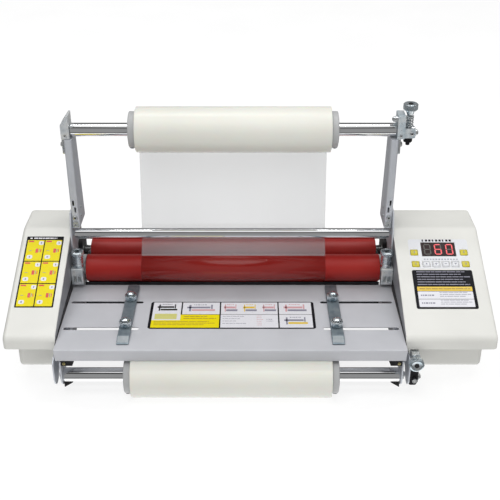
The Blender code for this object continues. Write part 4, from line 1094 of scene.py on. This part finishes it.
def mandrel_bracket(side, outward):
    """The bearing block on a post, its tongue beside the post and its bolts."""
    node = f"{side}_mandrel_bracket"
    low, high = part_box(node)
    spot = middle("upper_mandrel")
    foot = low.z + 0.0193
    if outward < 0:
        outer, inner, finish = low.x, high.x, "zinc_sheet"
        outline = [(outer, foot, 0.0006), (inner, foot, 0.0006), (inner, high.z, 0.0008)]
        outline += [(inner - 0.0019, high.z, 0.0008), (outer, high.z - 0.0110, 0.0020)]
    else:
        outer, inner, finish = RIGHT_BRACKET_OUTER, low.x + 0.0047, "blue_zinc_sheet"
        top = high.z - 0.0025
        outline = [(inner, foot, 0.0006), (outer, foot, 0.0006), (outer, top, 0.0010), (inner, top, 0.0010)]
    front = spot.y - BRACKET_HALF
    bm = formed(prism, eased(outline), (front, spot.y + BRACKET_HALF), "Y")
    plate = piece(f"{side}_bearing_plate", bm, finish, "frame", "zinc", (node,))
    through = (min(outer, inner) - 0.01, max(outer, inner) + 0.01)
    carve(plate, cutter(prism, round_outline(spot.y, spot.z, 0.0038, 48), through))
    add_bevel(plate, 0.0005, 3, 50)
    edge = on_side(TONGUE_INNER, outward)
    seat = edge + outward * 0.0024
    bm = formed(prism, eased(rectangle((0.047, 0.063), (low.z, foot - 0.0002)), 0.002), sorted((edge, seat)))
    piece(f"{side}_bearing_tongue", bm, "zinc", "frame", "zinc", bevel=0.0004)
    bm = bmesh.new()
    screw_head(bm, (seat, spot.y, 0.2415), "X", outward, 0.0034, 0.0030)
    rod(bm, 0.0044, (0, 0.0007 * outward), "X", (seat, spot.y, 0.2415), 40)
    screw_head(bm, ((outer + inner) / 2, front, 0.2555), "Y", -1, 0.0018, 0.0010)
    if outward > 0:
        screw_head(bm, (inner, spot.y - 0.004, 0.2735), "X", -1, 0.0033, 0.0062)
    piece(f"{side}_bearing_bolts", bm, PLATED, "frame", "zinc")


def brake():
    """The friction brake on the right bearing plate: a split clamp, its stud, spring and pinch bolt."""
    knob = middle("upper_tension_knob")
    stud = (knob.x, knob.y, 0)
    bm = formed(prism, eased(rectangle(BRAKE_X, BRAKE_Z), 0.0012), BRAKE_Y, "Y")
    clamp = piece("brake_clamp", bm, "blue_zinc_sheet", "frame", "zinc")
    bore = cutter(rod, 0.0024, (0.24, 0.28), "Z", stud, 32)
    split = cutter(block, (knob.x - 0.02, 0.195), (knob.y - 0.0006, knob.y + 0.0006), (0.24, 0.2585))
    shaft = cutter(rod, 0.0038, (BRAKE_X[0] - 0.01, 0.20), "X", (0, knob.y, middle("upper_mandrel").z), 32)
    carve(clamp, bore, split, shaft)
    add_bevel(clamp, 0.0004, 2, 50)
    spring("upper_brake_spring", stud, "Z", (0.2626, 0.2768), 0.0040, 0.00075, 5)
    bm = formed(prism, round_outline(knob.x, knob.y, 0.0052, 6), (0.2450, 0.2510), "Z")
    turned(bm, [(0, 0.2410), (0.0020, 0.2410), (0.0024, 0.2416), (0.0024, 0.2450), (0, 0.2450)], 24, "Z", stud)
    piece("brake_nut", bm, "oxide", "frame", "steel_gear", bevel=0.0003)
    bm = bmesh.new()
    screw_head(bm, (BRAKE_X[1] + 0.0008, knob.y, PINCH_HEIGHT), "X", 1, 0.0034, 0.0032)
    rod(bm, 0.0046, (0, 0.0008), "X", (BRAKE_X[1], knob.y, PINCH_HEIGHT), 40)
    screw_head(bm, (0.1830, BRAKE_Y[0], 0.2570), "Y", -1, 0.0026, 0.0020)
    piece("brake_bolts", bm, PLATED, "frame", "zinc")


def lower_bracket(side, outward):
    """Two cheeks and a web below the table, carrying the lower mandrel in an open seat."""
    spot = middle("lower_mandrel")
    left, right = CHEEKS_X[side]
    near = right if outward < 0 else left
    lobe = 0.011
    turns = [math.radians(180 + 12 * i) for i in range(13)]
    outline = [(spot.y - lobe, 0.050)]
    outline += [(spot.y + lobe * math.cos(t), spot.z + lobe * math.sin(t)) for t in turns]
    outline += [(-0.080, 0.030), (-0.0604, 0.034), (-0.0604, 0.054), (-0.100, 0.054)]
    bm = formed(prism, outline, (left, left + CHEEK_THICK))
    prism(bm, outline, (right - CHEEK_THICK, right))
    block(bm, (left + CHEEK_THICK, right - CHEEK_THICK), (-0.0632, -0.0605), (0.0345, 0.0535))
    cheeks = piece(f"{side}_lower_cheeks", bm, "post", "frame", "frame_steel", (f"{side}_lower_roll_bracket",))
    carve(cheeks, cutter(prism, round_outline(spot.y, spot.z, 0.0081, 48), (near - 0.004, near + 0.004)))
    add_bevel(cheeks, 0.0004, 2, 55)
    outline = eased(rectangle((-0.0600, -0.030), (0.034, 0.0535)), 0.0015)
    tongue = formed(prism, outline, sorted((beside_plate(outward), near)))
    piece(f"{side}_lower_tongue", tongue, "post", "frame", "frame_steel", bevel=0.0004)
    lower_gussets(side, outward, near, spot)


def lower_gussets(side, outward, near, spot):
    """Pressed gussets beside the cheeks, black as painted shade for the dark under the table, and the screws
    that hold them.
    """
    outline = [(near, 0.0532), (near - outward * 0.0150, 0.0532)]
    outline += [(near - outward * 0.0125, 0.0468), (near, 0.0468)]
    bm = formed(prism, outline, (GUSSET_FRONT, GUSSET_FRONT + 0.0021), "Y")
    small = [(near, spot.z - 0.0085), (near - outward * 0.0100, spot.z - 0.0085), (near, spot.z - 0.0150)]
    prism(bm, small, (spot.y - 0.0040, spot.y - 0.0020), "Y")
    piece(f"{side}_lower_gusset", bm, "oxide", "frame", "frame_steel", bevel=0.0003)
    bm = formed(screw_head, (near - outward * 0.0035, GUSSET_FRONT, 0.0500), "Y", -1, 0.0017, 0.0010)
    piece(f"{side}_gusset_screw", bm, ("brass", "oxide"), "frame", "zinc")
    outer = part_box(f"{side}_lower_roll_bracket")[0].x if outward < 0 else CHEEKS_X[side][1]
    bm = formed(screw_head, (outer, spot.y, 0.0455), "X", outward, 0.0026, 0.0016)
    piece(f"{side}_cheek_screw", bm, PLATED, "frame", "zinc")


def lower_brake():
    """The lower brake: a dark arm, a coil spring and a pinch bolt with its washer."""
    knob = middle("lower_tension_knob")
    near = LOWER_BRAKE_X
    outline = [(near, 0.0440), (0.1858, 0.0440), (0.1858, 0.0240), (0.1835, 0.0195), (near, 0.0195)]
    bm = formed(prism, eased(outline, 0.0015), LOWER_BRAKE_Y, "Y")
    piece("lower_brake_arm", bm, "oxide", "frame", "frame_steel", bevel=0.0005)
    bm = formed(prism, eased(rectangle((near, 0.1856), (0.0442, 0.0603)), 0.0010), LOWER_BRAKE_Y, "Y")
    arm = piece("lower_brake_block", bm, "zinc", "frame", "frame_steel")
    carve(arm, cutter(rod, 0.0024, (-0.12, -0.08), "Y", (knob.x, 0, knob.z), 32))
    add_bevel(arm, 0.0005, 2, 50)
    y = sum(LOWER_BRAKE_Y) / 2
    spring("lower_brake_spring", (0, y, 0.0265), "X", (0.1760, 0.1830), 0.0040, 0.00055, 4)
    bm = formed(rod, 0.0052, (0, 0.0009), "X", (0.1859, y, 0.0270), 40)
    screw_head(bm, (0.1868, y, 0.0270), "X", 1, 0.0035, 0.0026)
    rod(bm, 0.0026, (0, -0.003), "Y", (0.1815, LOWER_BRAKE_Y[0], 0.0270))
    piece("lower_brake_bolt", bm, PLATED, "frame", "zinc")


def bearing_block(side, outward):
    """A cast block for the upper front roller, with its lightening pockets, ring and screws."""
    node = f"{side}_bearing_block"
    low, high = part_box(node)
    axis = middle("upper_front_roller_shaft")
    outline = [(low.y, low.z, 0.0008), (high.y, low.z, 0.0008)]
    outline += [(high.y, high.z, 0.004), (low.y, high.z, 0.002)]
    bm = formed(prism, eased(outline, steps=6), (low.x, high.x))
    cast = piece(f"{side}_bearing_casting", bm, "zinc_sheet", "frame", "zinc", (node,))
    holes = formed(prism, round_outline(axis.y, axis.z, 0.0053, 40), (low.x - 0.01, high.x + 0.01))
    for xs in ((low.x + 0.0022, low.x + 0.0060), (high.x - 0.0060, high.x - 0.0022)):
        pocket = eased(rectangle(xs, (low.z + 0.003, low.z + 0.0115)), 0.0010)
        prism(holes, pocket, (low.y - 0.002, low.y + 0.006), "Y")
    carve(cast, solid(holes))
    add_bevel(cast, 0.0005, 3, 50)
    face = high.x if outward < 0 else low.x
    proud = face - outward * 0.0004
    ring = eased([(0.0085, proud), (0.0085, face), (0.0056, face), (0.0056, proud)], 0.0003)
    ring = formed(turned, ring, 48, "X", (0, axis.y, axis.z))
    piece(f"{side}_bearing_ring", ring, "bar", "frame", "chrome")
    bm = bmesh.new()
    for y in (low.y + 0.0330, low.y + 0.0360):
        screw_head(bm, (middle(node).x, y, high.z), "Z", 1, 0.0012, 0.0008, socket=False)
    screw_head(bm, (face, low.y + 0.0045, low.z + 0.0185), "X", -outward, 0.0018, 0.0012)
    piece(f"{side}_bearing_screws", bm, PLATED, "frame", "zinc")


# ---------------------------------------------------------------- knobs
def tension_knob(name, axis, start, sign, centre, length):
    """A knurled head with a dished face, a coned neck and a threaded stud, from its face inward."""
    shape = ((0, 0.0006), (0.0030, 0.0006), (0.0062, 0.0), (0.0074, 0.0004), (0.0083, 0.0013),
             (0.0083, 0.0066), (0.0076, 0.0076), (0.0066, 0.0080), (0.0052, 0.0083), (0.0036, 0.0130),
             (0.0032, 0.0140), (0.0020, 0.0140), (0.0020, length), (0, length))
    profile = [(radius, start - sign * distance) for radius, distance in shape]
    bm = bmesh.new()
    turned(bm, profile, axis=axis, centre=centre, teeth=36, depth=0.00042, toothed=(4, 5))
    # painted shade: a dark hexagon in the dished face for the knob's socket
    rod(bm, 0.0028, (start - sign * 0.0005, start - sign * 0.0001), axis, centre, 6, 1)
    piece(f"{name}_body", bm, BLUE_PLATED, name, "zinc", (name,), sharp=28)


def tension_knobs():
    for name, axis, length in (("upper_tension_knob", "Z", 0.0262), ("lower_tension_knob", "Y", 0.0230)):
        (low, high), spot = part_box(name), middle(name)
        if axis == "Z":
            tension_knob(name, axis, high.z, 1, (spot.x, spot.y, 0), length)
        else:
            tension_knob(name, axis, low.y, -1, (spot.x, 0, spot.z), length)


def pressure_knob(side):
    """A screw with a wide plated flange, a socket, and a plain barrel below."""
    node = f"{side}_pressure_knob"
    low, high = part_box(node)
    spot = middle(node)
    centre = (spot.x, spot.y, 0)
    barrel_end = 0.0975
    shape = ((0, 0.0022), (0.0034, 0.0022), (0.0036, 0.0004), (0.0046, 0), (0.0060, 0), (0.0079, 0.0012),
             (0.0079, 0.0046), (0.0068, 0.0062), (0.0064, 0.0066), (0.0064, 0.0150), (0.0058, 0.0157),
             (0.0058, 0.0166), (0.0064, 0.0172))
    profile = [(radius, high.z - depth) for radius, depth in shape]
    profile += [(0.0064, barrel_end), (0.0030, barrel_end), (0.0030, low.z), (0, low.z)]
    bm = bmesh.new()
    turned(bm, profile, axis="Z", centre=centre, teeth=30, depth=0.0003, toothed=(5, 6))
    # painted shade: a dark hexagon near the floor of the recess darkens the socket
    rod(bm, 0.0027, (high.z - 0.0021, high.z - 0.0019), "Z", centre, 6, 1)
    piece(f"{side}_pressure_screw", bm, BLUE_PLATED, node, "zinc", (node,), sharp=28)


# ---------------------------------------------------------------- feed table and guides
SLOT_ROWS = (-0.067, -0.012)
SLOT_X = (-0.207, -0.1275)
SLOT_HALF = 0.0026


def feed_table():
    """A folded sheet with an apron along its front edge and two rows of slots at each side."""
    low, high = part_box("feed_table")
    sheet = 0.0010
    under = high.z - sheet
    hem = low.y + 0.004
    outline = [(hem, low.z, 0.0002), (hem + sheet, low.z, 0.0002), (low.y + sheet, under, 0.0008)]
    outline += [(high.y, under, 0.0002), (high.y, high.z, 0.0004), (low.y, high.z, 0.0018)]
    bm = formed(prism, eased(outline, steps=6), (low.x, high.x))
    table = piece("table_sheet", bm, "table", "feed_table", "table_paint", ("feed_table",))
    slots = bmesh.new()
    for left, right in (SLOT_X, (mirror_x(SLOT_X[1]), mirror_x(SLOT_X[0]))):
        for y in SLOT_ROWS:
            outline = rectangle((left - SLOT_HALF, right + SLOT_HALF), (y - SLOT_HALF, y + SLOT_HALF))
            prism(slots, eased(outline, SLOT_HALF), (under - 0.004, high.z + 0.004), "Z")
    carve(table, solid(slots))
    add_bevel(table, 0.0002, 2, 50)
    hems = bmesh.new()
    for x, inward in ((low.x, 1), (high.x, -1)):
        xs = sorted((x + inward * 0.0001, x + inward * 0.0019))
        fold = [(low.y + 0.0016, under - 0.0001), (hem + 0.0012, low.z + 0.0003)]
        fold += [(low.y + 0.0350, low.z + 0.0050), (low.y + 0.0400, under - 0.0001)]
        prism(hems, fold, xs)
    piece("table_hems", hems, "table", "feed_table", "table_paint", bevel=0.0003)


def table_seals():
    """Black wedges on the side plates just above the table: painted shade, dark sheets where the gap between
    the table and the side plates lies in shadow.
    """
    bm = bmesh.new()
    foot = TABLE_TOP + 0.0003
    for x, inward in ((PLATE_LEFT, 1), (PLATE_RIGHT, -1)):
        xs = sorted((x + inward * 0.0001, x + inward * 0.0006))
        prism(bm, [(-0.100, foot), (0.018, foot), (0.018, 0.0820)], xs)
    piece("table_seals", bm, "rubber", "frame", "black_rubber")


def nip_guard():
    """Two dark strips behind the table's rear edge, in front of the lower front roller: painted shade, dark
    sheets that stand for the shadow round the nip.
    """
    bm = bmesh.new()
    for ys, zs in (((0.0273, 0.0281), (0.0668, 0.0740)), ((0.0202, 0.0212), (0.0420, 0.0650))):
        prism(bm, eased(rectangle(ys, zs), 0.0003), (-0.1990, 0.1560))
    piece("nip_guard", bm, "oxide", "frame", "frame_steel", bevel=0.0001)


def rear_bearings():
    """Housings on the side plates round the upper rear roller's journals."""
    axis = middle("upper_rear_roller_shaft")
    ys, bottom, top = (axis.y - 0.014, axis.y + 0.014), axis.z - 0.013, axis.z + 0.020
    for (side, outward), plate in zip(SIDES, (PLATE_LEFT, PLATE_RIGHT)):
        xs = sorted((plate - outward * 0.0002, plate - outward * 0.0075))
        outline = [(ys[0], bottom, 0.002), (ys[1], bottom, 0.002), (ys[1], top, 0.004), (ys[0], top, 0.004)]
        bm = formed(prism, eased(outline, steps=6), xs)
        housing = piece(f"{side}_rear_housing", bm, "black", "frame", "black_plastic")
        carve(housing, cutter(prism, round_outline(axis.y, axis.z, 0.0079, 48), (xs[0] - 0.01, xs[1] + 0.01)))
        add_bevel(housing, 0.0006, 3, 50)


def side_guide(side):
    """A flat guide bar with a ramped nose, and two knurled thumb screws."""
    node = f"{side}_side_guide"
    low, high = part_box(node)
    x, nose, half, ramp = middle(node).x, low.y, 0.00675, 0.0130
    foot, top = TABLE_TOP + 0.0003, TABLE_TOP + 0.0040
    lip = foot + 0.0012
    outline = [(nose, foot), (high.y, foot), (high.y, top, 0.0006)]
    outline += [(nose + ramp, top, 0.0010), (nose, lip, 0.0004)]
    bm = formed(prism, eased(outline), (x - half, x + half))
    piece(f"{side}_guide_bar", bm, "guide", node, "zinc", (node,), bevel=0.0004)
    # the nose is skinned in a lighter steel: painted light on the ramp
    outline = eased(rectangle((-half + 0.0009, half - 0.0009), (0.0022, 0.0122)), 0.0006)
    at = Matrix.Translation((x, nose, lip)) @ Matrix.Rotation(math.atan2(top - lip, ramp), 4, "X")
    tab = formed(prism, outline, (0.00001, 0.00014), "Z")
    piece(f"{side}_guide_nose", tab, "bright_guide", node, "zinc", at=at)
    for row, y in enumerate(SLOT_ROWS):
        thumb_screw(f"{side}_thumb_screw_{row + 1}", x, y, top, node)


def thumb_screw(name, x, y, top, body):
    """A plated thumb screw: fluted skirt, bright flange, ringed dome, and its nut below the table."""
    bm = bmesh.new()
    centre = (x, y, top)
    skirt = [(0, 0.0001), (0.0058, 0.0001), (0.0065, 0.0007), (0.0065, 0.0046), (0, 0.0046)]
    turned(bm, skirt, axis="Z", centre=centre, teeth=22, depth=0.0006, toothed=(2, 3))
    head = [(0, 0.0046), (0.0063, 0.0046), (0.0068, 0.0051), (0.0068, 0.0062), (0.0062, 0.0068)]
    head += [(0.0052, 0.0070), (0.0049, 0.0064), (0.0044, 0.0064), (0.0043, 0.0080), (0.0038, 0.0091)]
    head += [(0.0023, 0.0099), (0, 0.0102)]
    turned(bm, head, 64, "Z", centre)
    # painted shade: a dark ring filling the groove under the dome
    ring = [(0.0051, 0.0071), (0.0051, 0.0065), (0.0045, 0.0065), (0.0045, 0.0071)]
    turned(bm, ring, 64, "Z", centre, ink=1)
    under = TABLE_TOP - 0.0023 - top
    rod(bm, 0.0013, (0.0002, under - 0.0045), "Z", centre)
    prism(bm, round_outline(x, y, 0.0050, 6), (top + under - 0.0040, top + under), "Z")
    piece(name, bm, BLUE_PLATED, body, "zinc", sharp=28)


# ---------------------------------------------------------------- feet, inlet, drive
def feet():
    """Four rubber pads, each with a recess in its underside."""
    for side, _ in SIDES:
        for end in ("front", "rear"):
            node = f"{side}_{end}_foot"
            low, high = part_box(node)
            spot = middle(node)
            radius = (high.x - low.x) / 2
            profile = [(0, high.z), (radius, high.z), (radius, high.z - 0.003)]
            profile += [(radius - 0.0008, high.z - 0.0036), (radius - 0.0018, 0.0015), (radius - 0.003, 0)]
            profile += [(0.0040, 0), (0.0036, 0.004), (0, 0.004)]
            pad = formed(turned, eased(profile, 0.0006, False, 3), 64, "Z", (spot.x, spot.y, 0))
            piece(f"{node}_pad", pad, "rubber", "frame", "black_rubber", (node,))


def inlet():
    """The appliance inlet: a flanged shell with its well and three flat pins."""
    low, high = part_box("power_inlet")
    spot = middle("power_inlet")
    floor = low.y + 0.004
    bm = formed(prism, eased(rectangle((low.x, high.x), (low.z, high.z)), 0.002), (low.y, high.y), "Y")
    shell = piece("inlet_shell", bm, "black", "frame", "black_plastic", ("power_inlet",))
    left, right, bottom, top, cut = low.x + 0.003, high.x - 0.003, low.z + 0.003, high.z - 0.003, 0.003
    well = [(left, bottom), (right, bottom), (right, top - cut, 0.001), (right - cut, top, 0.001)]
    well += [(left + cut, top, 0.001), (left, top - cut, 0.001)]
    carve(shell, cutter(prism, eased(well), (floor, high.y + 0.005), "Y"))
    add_bevel(shell, 0.0004, 2, 50)
    pins = bmesh.new()
    for x, z in ((-0.0058, -0.0012), (0.0, 0.0016), (0.0058, -0.0012)):
        block(pins, (spot.x + x - 0.001, spot.x + x + 0.001), (floor, high.y - 0.0035),
              (spot.z + z - 0.0022, spot.z + z + 0.0022))
    piece("inlet_pins", pins, "brass", "frame", "steel_gear", bevel=0.0003)


def carried_over():
    """CAD nodes whose shape stays, with a procedural finish each."""
    finishes = {"base_pan": "pan", "left_side_plate": "plate", "right_side_plate": "plate",
                "gear_motor": "motor", "motor_pinion": "steel", "display_window": "window"}
    for level in ("lower", "upper"):
        for place in ("front", "rear"):
            finishes[f"{level}_{place}_gear"] = "nylon"
    for node, finish in finishes.items():
        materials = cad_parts[node].data.materials
        materials.clear()
        materials.append(M[finish])


# ---------------------------------------------------------------- studio
LIGHTS = (  # name, place, width, height, power
    ("key_light", (-0.3, -1.1, 2.0), 1.8, 1.2, 19),
    ("fill_light", (1.6, -0.6, 1.3), 1.0, 1.0, 5),
    ("back_light", (-0.9, 1.7, 1.5), 1.2, 1.2, 3),
    ("front_light", (0, -1.9, -0.25), 2.6, 0.4, 13),
    ("strip_light", (0, 0.36, 2.0), 3.0, 0.12, 14),
)
TARGET = (0, 0, 0.1)
SKY_BANDS = (  # height of a direction from -1, straight down, to 1; and its brightness
    (-0.72, 1.30), (-0.62, 0.10), (-0.46, 0.10), (-0.38, 0.30), (0.58, 0.28),
    (0.64, 0.04), (0.80, 0.04), (0.86, 0.95), (1.0, 0.95),
)


def studio():
    """A pale floor that lets light through from below, the tent, the lights and the camera."""
    bpy.context.scene.view_settings.view_transform = "Standard"
    bm = bmesh.new()
    bmesh.ops.create_grid(bm, x_segments=1, y_segments=1, size=8)
    floor = linked("floor", stored("floor", bm))
    paper = Finish("floor_paper", 0.9, Emission_Strength=0.80, Emission_Color=(1, 1, 1, 1))
    paper.coloured(paper.noise(6), (0.24, 0.24, 0.24), (0.27, 0.27, 0.27))
    floor.data.materials.append(paper.made)
    floor.visible_glossy = False
    floor.visible_diffuse = False
    floor.visible_shadow = False
    sky()
    for values in LIGHTS:
        soft_light(*values)
    camera()


def sky():
    """A studio tent as light: bright overhead, grey walls and floor, and a dark ring between."""
    world = bpy.data.worlds.new("studio")
    bpy.context.scene.world = world
    world.use_nodes = True
    tree = world.node_tree
    place = add_node(tree, "ShaderNodeTexCoord").outputs["Generated"]
    height = add_node(tree, "ShaderNodeSeparateXYZ", Vector=place).outputs["Z"]
    share = add_node(tree, "ShaderNodeMapRange", Value=height, From_Min=-1).outputs["Result"]
    ramp = add_node(tree, "ShaderNodeValToRGB", Fac=share)
    fill_ramp(ramp, [((direction + 1) / 2, (light, light, light)) for direction, light in SKY_BANDS])
    tree.links.new(ramp.outputs["Color"], tree.nodes["Background"].inputs["Color"])


def soft_light(name, place, width, height, power):
    """A rectangular light aimed at the object; only the strip shows in what is glossy."""
    light = bpy.data.lights.new(name, "AREA")
    light.shape = "RECTANGLE"
    light.size = width
    light.size_y = height
    light.energy = power
    obj = linked(name, light)
    obj.location = place
    obj.rotation_euler = (Vector(TARGET) - Vector(place)).to_track_quat("-Z", "Y").to_euler()
    obj.visible_glossy = name == "strip_light"


def camera():
    """The photo's view: about 29 degrees down from the front."""
    lens = bpy.data.cameras.new("camera")
    lens.sensor_width = 36
    lens.lens = 65.23
    lens.shift_x = 0.004
    eye = linked("camera", lens)
    eye.location = (-0.0025, -0.910, 0.642)
    eye.rotation_euler = (math.radians(60.8), 0, 0)
    bpy.context.scene.camera = eye


# ---------------------------------------------------------------- assembly
studio()
carried_over()
for side, outward in SIDES:
    casing_cover(side, outward)
    casing_base(side, outward)
    post(side, outward)
    mandrel_bracket(side, outward)
    lower_bracket(side, outward)
    bearing_block(side, outward)
    pressure_knob(side)
    side_guide(side)
brake()
lower_brake()
tension_knobs()
feed_table()
table_seals()
nip_guard()
rear_bearings()
rollers()
stepped_shaft("idler_rod", "idler_bar", "idler_bar", 0.003, (0.0043, 0.0043), 0.0005, 0.0007)
for level in ("upper", "lower"):
    supply_roll(level)
film_web()
keys()
display()
keypad_overlay()
left_label()
right_label()
table_label()
feet()
inlet()
